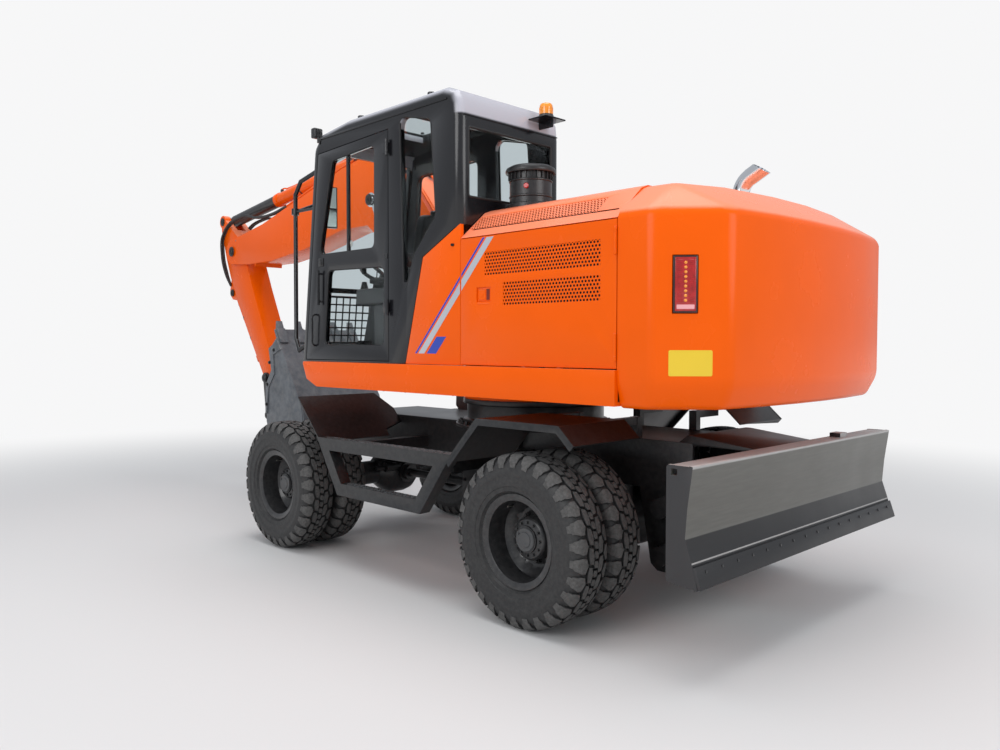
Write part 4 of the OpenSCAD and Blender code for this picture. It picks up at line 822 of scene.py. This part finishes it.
def stripe(name, lower, upper, width, side, body, ahead, material):
    """A slanted band of thin film on a side panel, cut square at the door's seam."""
    film = bmesh.new()
    corners = [(lower[0], lower[1]), (lower[0] + width, lower[1]), (upper[0] + width, upper[1]), upper]
    film.faces.new([film.verts.new(at(x, side * 1220.3, z)) for x, z in corners])
    edge = at(-485 if ahead else -498, 0, 0).x
    bmesh.ops.bisect_plane(film, geom=film.verts[:] + film.edges[:] + film.faces[:], plane_co=(edge, 0, 0),
                           plane_no=(-1 if ahead else 1, 0, 0), clear_outer=True)
    raise_faces(film, film.faces[:], (0, side * 0.0004, 0))
    add_piece(name, film, body, "orange_paint", material)


for side, name in sides:
    for part, ahead, body in (("front", True, "upper_body"), ("rear", False, "service_door_" + name)):
        for colour, x, width, film in (("silver", -130, 62, silver_film), ("blue", -52, 20, blue_film)):
            stripe("%s_stripe_%s_%s" % (colour, part, name), (x, 1640), (x - 660, 2352), width, side, body,
                   ahead, film)
    stripe("blue_foot_" + name, (-250, 1640), (-352, 1750), 96, side, "upper_body", True, blue_film)


# Engine and breathing: a plain cast block under the hood, the cyclone pre-cleaner with its domed
# cap, the low inlet box behind the cab, and the chromed exhaust elbow cut off at a slant.
cast = finish_of("cast_block", (0.16, 0.165, 0.16), 0.6, metallic=0.3, mottle=0.2, grain=0.5, grain_scale=90)
eased("engine_block", 0.012, "cast_block", cast)
plastic = finish_of("black_plastic", (0.016, 0.016, 0.0175), 0.34, mottle=0.1, grain=0.25, grain_scale=500,
                    dust=(0.06, 0.058, 0.056, 0.4))
bowl_side = 0.5
eased("air_precleaner", 0.004, "black_plastic", plastic, keep=lambda middle: middle.y < bowl_side)


def on_bowl(z, ahead=0):
    """A point over or ahead of the pre-cleaner's middle."""
    return at(-690 + ahead, 790, z)


bowl = bmesh.new()
for r, low, high, soft in (
        (0.150, 2568.3, 2600, 0.006), (0.136, 2600, 2640, 0.003), (0.140, 2640, 2652, 0.003),
        (0.136, 2652, 2740, 0.002), (0.141, 2740, 2752, 0.003), (0.132, 2752, 2796, 0.002)):
    rod(bowl, on_bowl(low), on_bowl(high), r, sides=64, chamfer=soft)
lathe(bowl, [on_bowl(z, r) for r, z in ((0.01, 2796), (160, 2796), (163, 2801), (163, 2815), (156, 2828),
                                        (130, 2842), (70, 2854), (0.01, 2858))],
      (0, 0, 1), 64, on_bowl(0), closed=False)
bmesh.ops.remove_doubles(bowl, verts=bowl.verts, dist=3e-5)
for k in range(24):
    turn = Matrix.Translation(on_bowl(2774)) @ Matrix.Rotation(math.tau * k / 24, 4, "Z")
    block(bowl, (0.131, -0.0025, -0.020), (0.146, 0.0025, 0.021), 0.001, turn=turn)
rod(bowl, on_bowl(2856), on_bowl(2863), 0.026, sides=24, chamfer=0.003)
add_piece("precleaner_bowl", bowl, "upper_body", "black_plastic", plastic)
button = bmesh.new()
way = Vector((-0.52, 0.854, 0))
rod(button, on_bowl(2700) + way * 0.1355, on_bowl(2700) + way * 0.150, 0.017, sides=24, chamfer=0.004)
add_piece("precleaner_gauge", button, "upper_body", "lamp_lens", red_lens)
eased("exhaust_pipe", 0.002, "rod_steel", chrome)
clamp = bmesh.new()
rod(clamp, at(-1490, -450, 2640), at(-1490, -450, 2664), 0.0605, sides=48, chamfer=0.002)
block(clamp, at(-1500, -400, 2642), at(-1480, -372, 2662), 0.002)
add_piece("exhaust_clamp", clamp, "upper_body", "black_paint", bright_bolt)


# Cab: a pressed and welded black shell with rounded roof rails. Its windows sit in black rubber
# seals, and the rear, roof, quarter and right panes are fixed.
# The cab's black paint comes in two copies. The second one, used on the shell, has a painted sky reflection in
# silver grey on faces that look up or to the rear above 3.156 m.
cab_paint, roof_sheen_paint = [finish_of(name, (0.007, 0.007, 0.009), 0.24, mottle=0.2, coat=0.3, grain=0.03,
                                   specular=0.4) for name in ("cab_black", "cab_black_painted_roof_sheen")]
painted_sky_sheen(roof_sheen_paint, (0.44, 0.44, 0.49), 0.1, 0.75, 1.0, foot=3.156, rearward=True)
side_line = [(1376, 1566.3), (1170, 3260), (1120, 3310), (760, 3350), (-330, 3350), (-420, 3314),
             (-468, 3240), (-480, 3130), (-480, 2462), (-113, 2279), (76, 1566.3)]
form = bmesh.new()
panel = form.faces.new([form.verts.new(at(x, 264.9, z)) for x, z in side_line])
raise_faces(form, [panel], (0, 0.9552, 0), use_keep_orig=True)
bmesh.ops.recalc_face_normals(form, faces=form.faces)
pillar_foot, rail_foot, rail_front = 2.45, 3.12, -0.32
rims = [e for e in form.edges if abs(e.verts[0].co.y - e.verts[1].co.y) < 0.001
        and min(v.co.z for v in e.verts) > pillar_foot and max(v.co.z for v in e.verts) > rail_foot
        and max(v.co.x for v in e.verts) < rail_front]
soften(form, rims, 0.062, 7, clamp_overlap=True)
eased("cab_frame", 0.004, "black_paint", roof_sheen_paint, cutter=form, operation="INTERSECT")
fittings = bmesh.new()
for low, high, soft, rounds in (
        ((220, 442.5, 3349), (820, 480.5, 3370), 0.005, 2),
        ((220, 1004.5, 3349), (820, 1042.5, 3370), 0.005, 2),
        ((220, 480.5, 3349), (258, 1004.5, 3370), 0.005, 2),
        ((782, 480.5, 3349), (820, 1004.5, 3370), 0.005, 2),
        ((-640, 390, 3222), (-474, 590, 3232), 0.003, 1),
        ((-600, 470, 3176), (-470, 482, 3224), 0.002, 1),
        ((-483.5, 300, 3148), (-479.5, 1180, 3156), 0.001, 1),
        ((-360, 1218, 3256), (1100, 1230, 3270), 0.004, 2)):
    block(fittings, at(*low), at(*high), soft, rounds)
for x in (-100, 700):
    rod(fittings, at(x, 1130, 3350), at(x, 1130, 3376), 0.026, sides=24, chamfer=0.005)
add_piece("roof_fittings", fittings, "upper_body", "black_paint", cab_paint)
pane, tree, shader = new_material("window_pane")
smears = shade(tree, "TexNoise", {"Vector": object_place(tree), "Scale": 5, "Detail": 8})["Fac"]
smeared = shade(tree, "MapRange", {"Value": smears, "To Min": 0.01, "To Max": 0.07})["Result"]
feed(tree, shader, {"Base Color": (0.955, 0.994, 0.985, 1), "Transmission Weight": 1.0, "IOR": 1.08,
                    "Roughness": smeared})
for name in ("cab_glass", "door_glass"):
    for place in nodes[name].material_slots:
        place.material = pane


def rounded_ring(corners, radius, steps=5):
    """The corners of a closed flat outline, each rounded over by the same radius."""
    ring = []
    for i, corner in enumerate(corners):
        back, on = corners[i - 1] - corner, corners[(i + 1) % len(corners)] - corner
        run = min(radius / math.tan(back.angle(on) / 2), 0.45 * back.length, 0.45 * on.length)
        start, end = corner + back.normalized() * run, corner + on.normalized() * run
        for k in range(steps + 1):
            t = k / steps
            ring.append(start * (1 - t) ** 2 + corner * 2 * t * (1 - t) + end * t ** 2)
    return ring


quarter = [(90, 2002), (134, 3247), (-198, 3171), (-250, 2532), (-27, 2306)]
right_view = [(330, 1750), (1180, 1750), (1060, 3100), (330, 3130)]
upper_pane = [(426, 2380), (1150, 2384), (960, 3080), (421, 3110)]
lower_pane = [(314, 1690), (1080, 1690), (1020, 2263), (310, 2246)]
for name, outline, y, body in (("quarter_seal_left", quarter, 1214, "upper_body"),
                               ("quarter_seal_right", quarter, 271, "upper_body"),
                               ("right_view_seal", right_view, 271, "upper_body"),
                               ("upper_pane_seal", upper_pane, 1212, "cab_door"),
                               ("lower_pane_seal", lower_pane, 1212, "cab_door")):
    ring = rounded_ring([at(x, y, z) for x, z in outline], 0.055)
    hose(name, ring, 0.0075, body, seal, smooth=False, ring=True)
rear_view = [(360, 2640), (1140, 2640), (1140, 3080), (360, 3080)]
ring = rounded_ring([at(-474, y, z) for y, z in rear_view], 0.02)
hose("rear_view_seal", ring, 0.009, "upper_body", seal, smooth=False, ring=True)
roof_trim = bmesh.new()
for x, y in ((300, 520), (740, 520), (300, 960), (740, 960)):
    rod(roof_trim, at(x, y, 3360), at(x, y, 3374), 0.014, sides=16, chamfer=0.003)
add_piece("roof_screws", roof_trim, "upper_body", "black_paint", cab_paint)


# Window guard: a grid of thin bars in front of the lower windscreen, welded to a frame and bolted
# to the cab's front, with the rubber bar that divides the windscreen above it.
def front_at(y, z, out=12):
    """A point on the cab's leaning front, at a distance outside it."""
    return at(1376 - (z - 1566.3) * 0.12162 + out, y, z)


guard = bmesh.new()
low, high, right, left, thin, thick = 1712, 2084, 352, 1134, 0.006, 0.009
for k in range(7):
    z = low + 62 * k
    rod(guard, front_at(right - 2, z), front_at(left + 2, z), thin if k % 6 else thick, sides=10)
for k in range(13):
    y = right + 65.2 * k
    rod(guard, front_at(y, low), front_at(y, high), thin if k % 12 else thick, sides=10)
for y, inner in ((340, right), (1146, left)):
    for z in (1740, 2060):
        rod(guard, front_at(y, z, 0.5), front_at(y, z, 14), 0.014, sides=16, chamfer=0.002)
        rod(guard, front_at(y, z), front_at(inner, z), 0.008, sides=10)
add_piece("window_guard", guard, "upper_body", "black_paint", black_paint)
bar = bmesh.new()
block(bar, at(1288, 336, 2112), at(1302, 1149, 2152), 0.004, 2)
add_piece("windscreen_bar", bar, "upper_body", "black_plastic", seal)


# Door: a pressed black frame with two panes, hung at the rear on two knuckles. It has a pull bar,
# a lock plate with its lever and key barrel, and two white catches for the sliding upper pane.
eased("cab_door", 0.004, "black_paint", cab_paint)
white_clip = finish_of("pale_catch", (0.55, 0.55, 0.53), 0.4, mottle=0.05)
catches = bmesh.new()
for x in (748, 796):
    block(catches, at(x - 12, 1186, 2420), at(x + 12, 1193.7, 2466), 0.003)
    rod(catches, at(x, 1193, 2443), at(x, 1199, 2443), 0.007, sides=14, chamfer=0.001)
add_piece("pane_catches", catches, "cab_door", "black_plastic", white_clip)
lock = bmesh.new()
block(lock, at(1078, 1220.2, 2296), at(1142, 1226, 2360), 0.004, 2)
block(lock, at(1090, 1226.2, 2306), at(1130, 1234, 2330), 0.004, 2)
rod(lock, at(1110, 1226, 2345), at(1110, 1231, 2345), 0.009, chamfer=0.001)
block(lock, at(270, 1220.3, 2296), at(306, 1225, 2330), 0.002)
add_piece("door_lock", lock, "cab_door", "black_plastic", plastic)
pull = [(1222, 1690), (1246, 1700), (1250, 1760), (1250, 1860), (1246, 1920), (1222, 1932)]
hose("door_foot_loop", [at(1196, y, z) for y, z in pull], 0.008, "cab_door", cab_paint)


# Handrail and mirror: a bent tube from the cab's foot to its roof, with the two-part mirror on a
# bracket. The upper glass is flat and the lower one wide-angled, both framed in black plastic.
eased("handrail_mirror", 0.002, "black_paint", cab_paint)
# Both glasses are coloured as what they reflect: a painted bright reflection on the flat upper glass and a
# painted dark reflection on the wide lower glass.
mirror_painted_reflection = finish_of("mirror_painted_reflection", (0.62, 0.68, 0.68), 0.12, metallic=0.3, mottle=0.02)
wide_mirror_painted_dark = finish_of("wide_mirror_glass", (0.20, 0.22, 0.22), 0.12, metallic=0.3, mottle=0.1)
glass = bmesh.new()
turn = Matrix.Translation(at(1480, 925, 2830)) @ Matrix.Rotation(math.radians(-12), 4, "Z")
for k, (low, high) in enumerate(((-0.014, 0.152), (-0.167, -0.030))):
    block(glass, (-0.0265, -0.070, low), (-0.0242, 0.070, high), 0.001, turn=turn, material=k)
add_piece("mirror_panes", glass, "upper_body", "window_glass", mirror_painted_reflection, wide_mirror_painted_dark)


# Lamps on the cab: two square work lamps over the windscreen, with ribbed backs, and the amber
# beacon on a bracket behind the roof.
clear_lens = finish_of("clear_lens", (0.80, 0.82, 0.84), 0.08, mottle=0.1, mottle_scale=60, coat=0.8)
for name, y in (("left", 1190), ("right", 295)):
    lamp = bmesh.new()
    block(lamp, at(1184, y - 36, 3290), at(1236, y + 36, 3366), 0.008, 3)
    for k in range(5):
        block(lamp, at(1176, y - 32 + 14 * k, 3298), at(1185, y - 24 + 14 * k, 3358), 0.0015)
    rod(lamp, at(1183.5, y, 3252), at(1183.5, y, 3292), 0.0115, sides=16, chamfer=0.001)
    add_piece("work_lamp_" + name, lamp, "upper_body", "lamp_lens", plastic)
    lens = bmesh.new()
    rod(lens, at(1236.2, y, 3328), at(1243, y, 3328), 0.031, sides=32, chamfer=0.003)
    add_piece("work_lens_" + name, lens, "upper_body", "lamp_lens", clear_lens)
cable_run = [(1178, 1196, 3320), (1150, 1212, 3345), (1118, 1216, 3335), (1095, 1214, 3300),
             (1105, 1221, 3262), (1118, 1224, 3225)]
hose("lamp_cable", [at(*point) for point in cable_run], 0.004, "upper_body", hose_rubber)


def on_beacon(z, ahead=0):
    """A point over or ahead of the beacon's middle."""
    return at(-540 + ahead, 480, z)


beacon = bmesh.new()
rod(beacon, on_beacon(3232.4), on_beacon(3262), 0.052, sides=40, chamfer=0.004)
rod(beacon, on_beacon(3262), on_beacon(3267), 0.048, sides=40)
add_piece("beacon_base", beacon, "upper_body", "black_plastic", plastic)
dome = bmesh.new()
lathe(dome, [on_beacon(z, r) for r, z in ((47, 3267.2), (46, 3312), (44, 3328), (38, 3338), (26, 3344),
                                          (0.01, 3346))], (0, 0, 1), 40, on_beacon(0), closed=False)
bmesh.ops.remove_doubles(dome, verts=dome.verts, dist=5e-5)
for k in range(20):
    turn = Matrix.Translation(on_beacon(3292)) @ Matrix.Rotation(math.tau * k / 20, 4, "Z")
    block(dome, (0.0455, -0.002, -0.022), (0.0478, 0.002, 0.022), 0.0006, turn=turn)
add_piece("beacon_dome", dome, "upper_body", "lamp_lens", amber)


# Operator's chair: a sprung pedestal with a cushion and a backrest in dark cloth over foam, with
# a head pad and two arm pads.
cloth = finish_of("chair_cloth", (0.028, 0.028, 0.031), 0.9, mottle=0.15, mottle_scale=40, grain=0.8,
                  grain_scale=900)
feed(cloth.node_tree, cloth.node_tree.nodes["Principled BSDF"], {"Sheen Weight": 0.3})
chair_y = 742.5


def pad(name, low, high, lean, crown):
    """A stuffed pad between two corners, crowned on its broad faces, leaning by an angle."""
    bm = bmesh.new()
    size = high - low
    bmesh.ops.create_cube(bm, size=1)
    bmesh.ops.subdivide_edges(bm, edges=bm.edges, cuts=7, use_grid_fill=True)
    thin = min(range(3), key=lambda i: size[i])
    broad = [i for i in range(3) if i != thin]
    for vert in bm.verts:
        share = vert.co * 2
        across, along = abs(share[broad[0]]), abs(share[broad[1]])
        rise = (1 - across ** 3) * (1 - along ** 3)
        vert.co = [c * s / 2 for c, s in zip(share, size)]
        for i in broad:
            vert.co[i] *= 1 - 0.05 * across * along
        vert.co[thin] *= 0.78 + 0.22 * rise ** 0.5
        vert.co[thin] += crown * rise * math.copysign(1, share[thin])
    bmesh.ops.smooth_vert(bm, verts=bm.verts, factor=0.5, use_axis_x=True, use_axis_y=True, use_axis_z=True)
    bmesh.ops.transform(bm, verts=bm.verts,
                        matrix=Matrix.Translation((low + high) / 2) @ Matrix.Rotation(lean, 4, "Y"))
    obj = add_piece(name, bm, "upper_body", "cushion", cloth, sharp=80)
    puff = obj.modifiers.new("puff", "SUBSURF")
    puff.levels = puff.render_levels = 1


for name, x0, x1, wide, z0, z1, lean, crown, fill in (
        ("seat_cushion", 290, 800, 250, 1872, 1986, 0.03, 0.012, 0.8),
        ("seat_back", 205, 325, 230, 1990, 2640, -0.12, 0.014, 0.8),
        ("head_pad", 150, 240, 130, 2610, 2662, -0.1, 0.006, 0.9)):
    pad(name, at(x0, chair_y - wide, z0), at(x1, chair_y + wide, z1), lean, crown)
pedestal = bmesh.new()
block(pedestal, at(340, chair_y - 200, 1613), at(710, chair_y + 200, 1660), 0.01, 2)
for k in range(5):
    fold, z = (k % 2) * 12, 1661 + 36 * k
    block(pedestal, at(380 + fold, 570 + fold, z), at(670 - fold, 915 - fold, z + 34), 0.012, 2)
block(pedestal, at(330, chair_y - 210, 1842), at(730, chair_y + 210, 1871), 0.008, 2)
for name, y in (("left", 470), ("right", 1015)):
    pad("arm_pad_" + name, at(420, y - 32, 2150), at(740, y + 32, 2190), 0.0, 0.004)
    block(pedestal, at(300, y - 14, 2120), at(700, y + 14, 2149), 0.006, 2)
    block(pedestal, at(292, y - 12, 1850), at(330, y + 12, 2148), 0.006, 2)
base = add_piece("seat_pedestal", pedestal, "upper_body", "black_plastic", plastic)
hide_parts("operator_chair")


# Consoles and steering: moulded grey consoles beside the chair with their levers, the steering
# column with its wheel, a small screen on the right pillar, and a ribbed floor mat with pedals.
console_grey = finish_of("console_grey", (0.06, 0.062, 0.066), 0.55, mottle=0.1, grain=0.4, grain_scale=600)
eased("cab_controls", 0.006, "black_plastic", console_grey,
      keep=lambda middle: abs(middle.y - chair_y / 1000) < 0.2)
pods, levers = bmesh.new(), bmesh.new()
for y in (chair_y - 325, chair_y + 325):
    block(pods, at(330, y - 62, 1613), at(560, y + 62, 1990), 0.02, 3)
    block(pods, at(340, y - 55, 1990), at(800, y + 55, 2112), 0.022, 3)
    for k in range(6):
        rod(levers, at(760, y, 2114 + 9 * k), at(760, y, 2122 + 9 * k), 0.030 - 0.0022 * k, chamfer=0.002)
    rod(levers, at(760, y, 2225), at(768, y, 2300), 0.017, r2=0.021, chamfer=0.003)
    rod(levers, at(768, y, 2300), at(769, y, 2312), 0.021, r2=0.014, chamfer=0.003)
    for k in range(3):
        block(levers, at(450 + 60 * k, y - 30, 2113.3), at(480 + 60 * k, y + 30, 2118), 0.002)
block(levers, at(1010, 340, 2340), at(1044, 500, 2450), 0.008, 2)
rod(levers, at(1027, 420, 2120), at(1027, 420, 2341), 0.012, sides=14)
for x in (1040, 1120):
    for y in (610, 785):
        block(levers, at(x, y, 1640), at(x + 12, y + 90, 1730), 0.004)
add_piece("consoles", pods, "upper_body", "black_plastic", console_grey)
add_piece("levers_and_pedals", levers, "upper_body", "black_plastic", plastic)
mat = bmesh.new()
block(mat, at(820, 330, 1612.8), at(1290, 1160, 1618), 0.002)
for k in range(15):
    block(mat, at(840 + 30 * k, 340, 1618), at(850 + 30 * k, 1150, 1620.5), 0.0005)
add_piece("floor_mat", mat, "upper_body", "black_plastic", seal)
wiper = bmesh.new()
rod(wiper, at(1191, 560, 3190), at(1260, 560, 2620), 0.006, sides=10)
block(wiper, at(1170, 540, 3185), at(1192, 580, 3215), 0.004)
rod(wiper, at(1232, 560, 2840), at(1312, 560, 2180), 0.0045, sides=8)
add_piece("wiper_arm", wiper, "upper_body", "black_plastic", plastic)


# Boom: a welded box of orange plate with cast pin eyes. Steel pipes run along its top in clamps,
# and its pins are held by keeper plates.
def frame_at(x0, z0, angle):
    """Places points of a part that starts at x0, z0 and is turned up by an angle."""
    run, rise = math.cos(math.radians(angle)), math.sin(math.radians(angle))
    return lambda x, y, z: on_frame(x0 + x * run - z * rise, y, z0 + x * rise + z * run)


def middle_of(point):
    """A point's x and z in millimetres from the slew axis on the ground."""
    return (point.x + slew_axis_x) * 1000, point.z * 1000


boom_angle, stick_angle = 14.1, 61.8
on_boom = frame_at(430, 1680, boom_angle)
elbow_x, elbow_z = middle_of(on_boom(4600, 0, 0))
on_stick = frame_at(elbow_x - 2100 * math.cos(math.radians(stick_angle)),
                    elbow_z - 2100 * math.sin(math.radians(stick_angle)), stick_angle)
eased("boom", 0.005, "orange_paint", orange)
pins = bmesh.new()
pin_ends(pins, on_boom, ((4600, 180.3, 0, 0.04), (2430, 110.3, 1297, 0.034)))
add_piece("boom_pins", pins, "boom", "black_paint", black_paint)
top_line = [(620, 640), (1350, 1190), (1750, 1362), (2130, 1353), (2500, 1203), (3052, 918), (3500, 685)]
clamp_places = ((900, 838, 37.1), (1500, 1242, 23), (2300, 1277, -23.2), (2800, 1037, -27.3),
                (3300, 776, -27.6))
lanes = [(side, lane) for side in (-1, 1) for lane in (128, 154)]
for side, lane in lanes:
    hose("boom_pipe_%d_%d" % (side, lane), [on_boom(x, side * lane, z) for x, z in top_line], 0.011, "boom",
         orange)
clamps = bmesh.new()
for side in (-1, 1):
    for x, z, tilt in clamp_places:
        turn = (Matrix.Translation(on_boom(x, side * 141, z))
                @ Matrix.Rotation(-math.radians(boom_angle + tilt), 4, "Y"))
        block(clamps, (-0.022, -0.030, 0.004), (0.022, 0.030, 0.036), turn=turn)
        bolt(clamps, turn @ Vector((0, 0, 0.036)), turn.to_3x3() @ Vector((0, 0, 1)), 0.007, 0.008)
add_piece("pipe_clamps", clamps, "boom", "black_paint", black_paint)
nipples = bmesh.new()
for x, z in ((-60, 138), (4540, 140), (1665, 1000)):
    for side in (-1, 1):
        rod(nipples, on_boom(x, side * 171, z), on_boom(x, side * 180, z), 0.006, sides=10, r2=0.004)
add_piece("boom_grease_points", nipples, "boom", "rod_steel", bright_bolt)


# Hoses between frame and boom, and over the elbow to the bucket cylinder: black wire-braided
# hoses, drawn once in their present pose.
def bending_hose(name, points, start, end):
    obj = hose(name, points, 0.014, None, hose_rubber)
    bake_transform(obj)


for side, lane in lanes:
    y = side * lane
    bending_hose("foot_hose_%d_%d" % (side, lane),
                 [on_frame(x, y, z) for x, z in ((-60, 1400), (-90, 1560), (-60, 1800))]
                 + [on_boom(x, y, z) for x, z in ((60, 330), (280, 470), (620, 640))],
                 tuple(on_frame(-90, 0, 1560)), tuple(on_boom(400, 0, 520)))
    bending_hose("elbow_hose_%d_%d" % (side, lane),
                 [on_boom(x, y, z) for x, z in ((3500, 685), (3800, 560), (4150, 470), (4480, 440))]
                 + [on_stick(2420, y, -150), on_stick(2250, y, -270), on_stick(2000, y * 0.9, -330),
                    on_stick(1840, side * 100, -350)],
                 tuple(on_boom(4150, 0, 470)), tuple(on_stick(2250, 0, -270)))


# Boom cylinders: two orange barrels with bolted glands, a pipe along each barrel, and chromed
# rods with forged eyes.
def dress_cylinder(name, body, place, length, r, lines):
    """Gland bolts, a pipe with its ports and straps on a barrel; place gives points along it."""
    dress = bmesh.new()
    for y in lines:
        centre = place(length, y, 0)
        way = (place(length + 10, y, 0) - centre).normalized()
        across, up = Vector((0, 1, 0)), way.cross(Vector((0, 1, 0)))
        out = way.orthogonal().normalized()
        for left, above in around(12, (r - 9) / 1000):
            head = centre + way * 0.0003 + across * left + up * above
            rod(dress, head, head + way * 0.0022, 0.007, sides=12, chamfer=0.0008)
        for s in (110, length - 90):
            rod(dress, place(s, y, r - 4), place(s, y, r + 30), 0.019, chamfer=0.003)
            rod(dress, place(s, y, r + 28), place(s, y, r + 40), 0.012, sides=6)
        for s in (length * 0.36, length * 0.66):
            a, b = place(s, y, 0), place(s + 22, y, 0)
            inner, outer = (r - 2) / 1000, (r + 1.6) / 1000
            lathe(dress, [a + out * inner, a + out * outer, b + out * outer, b + out * inner], way, 48, a)
    add_piece(name + "_fittings", dress, body, "orange_paint", black_paint)
    for k, y in enumerate(lines):
        run = [(112, 34), (170, 34), (240, 17), (length - 200, 17), (length - 140, 34), (length - 92, 34)]
        hose("%s_pipe_%d" % (name, k), [place(s, y, r + rise) for s, rise in run], 0.009, body,
             orange)


def line_at(a, b):
    """The frame of a cylinder whose pins stand at a and b, both as x and z."""
    return frame_at(*a, math.degrees(math.atan2(b[1] - a[1], b[0] - a[0])))


eased("boom_cylinders", 0.003, "orange_paint", orange)
foot, head = (1080, 1420), (1895.9, 3027.7)
boom_line = line_at(foot, head)
dress_cylinder("boom_cylinder", "boom_cylinders", boom_line, 1180, 75, (-270, 270))
eased("boom_rods", 0.002, "rod_steel", chrome)
pins = bmesh.new()
pin_ends(pins, boom_line, ((math.dist(foot, head), 330.3, 0, 0.036),))
add_piece("boom_rod_pins", pins, "boom_rods", "black_paint", black_paint)


# Stick: a tapered orange box with cast ends. The stick cylinder's barrel lies over the boom, and
# its rod pushes the lever above the elbow, inside a folded black rubber boot.
eased("stick", 0.005, "orange_paint", orange)
pins = bmesh.new()
pin_ends(pins, on_stick, ((2599, 125.3, -107, 0.034), (1750, 98.3, -360, 0.03)))
for side in (-1, 1):
    for x, z in ((2100, 170), (420, 96), (60, 100)):
        rod(pins, on_stick(x, side * 60, z - 14), on_stick(x, side * 60, z), 0.006, sides=10, r2=0.004)
add_piece("stick_pins", pins, "stick", "black_paint", black_paint)
eased("stick_cylinder", 0.003, "orange_paint", orange)
stick_line = line_at(middle_of(on_boom(2430, 0, 1297)), middle_of(on_boom(5014.9, 0, 297.1)))
dress_cylinder("stick_cylinder", "stick_cylinder", stick_line, 1640, 70, (0,))
boot = bmesh.new()
folds = [(1645.0 + 25.5 * k, 69 - 3.5 * (k % 2)) for k in range(41)]
start = stick_line(0, 0, 0)
lathe(boot, [stick_line(s, 0, r) for s, r in folds + [(s, r - 3) for s, r in reversed(folds)]],
      stick_line(1, 0, 0) - start, 40, start)
boot_piece = add_piece("stick_rod_boot", boot, None, "black_plastic", plastic, sharp=50)
tuple(stick_line(1650, 0, 0))
tuple(stick_line(2660, 0, 0))
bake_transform(boot_piece)
eased("stick_rod", 0.002, "rod_steel", chrome)


# Bucket cylinder and linkage: the barrel stands on the stick's front, the rocker arms and the
# black link join its rod to the bucket.
eased("bucket_cylinder", 0.003, "orange_paint", orange)
bucket_line = line_at(middle_of(on_stick(1750, 0, -360)), middle_of(on_stick(29, 0, -153)))
dress_cylinder("bucket_cylinder", "bucket_cylinder", bucket_line, 975, 62, (0,))
eased("bucket_rod", 0.002, "rod_steel", chrome)
for name in ("bucket_rocker", "bucket_link"):
    eased(name, 0.004, "black_paint", black_paint)
pins = bmesh.new()
pin_ends(pins, on_stick, ((420, 201.3, 0, 0.032), (29, 199.3, -153, 0.028)))
add_piece("rocker_pins", pins, "bucket_rocker", "black_paint", black_paint)


# Bucket: a curved shell of thick plate with wear strips, side cutters and five forged teeth. The
# paint is flecked all over with pale specks.
bucket_paint = finish_of("bucket_paint", (0.10, 0.112, 0.128), 0.42, mottle=0.3, mottle_scale=7, grain=0.25,
                         grain_scale=120, dust=(0.22, 0.215, 0.21, 0.5), dust_scale=14)
eased("bucket", 0.004, "grey_paint", bucket_paint)
in_bucket = frame_at(*middle_of(on_stick(0, 0, 0)), 0)
pins = bmesh.new()
rod(pins, in_bucket(-253, -168, -228), in_bucket(-253, 168, -228), 0.0297, sides=40)
for k in range(5):
    y = (k - 2) * 870 / 4
    rod(pins, in_bucket(-578, y - 39, 880), in_bucket(-578, y + 39, 880), 0.009, sides=14)
pin_ends(pins, in_bucket, ((-253, 168, -228, 0.03), (0, 168.3, 0, 0.04)))
for side in (-1, 1):
    for x, z in ((-560, 690), (-470, 560), (-420, 330), (-400, 120)):
        bolt(pins, in_bucket(x, side * 504.3, z), (0, side, 0), 0.013, 0.014)
add_piece("bucket_pins", pins, "bucket", "grey_paint", black_paint)
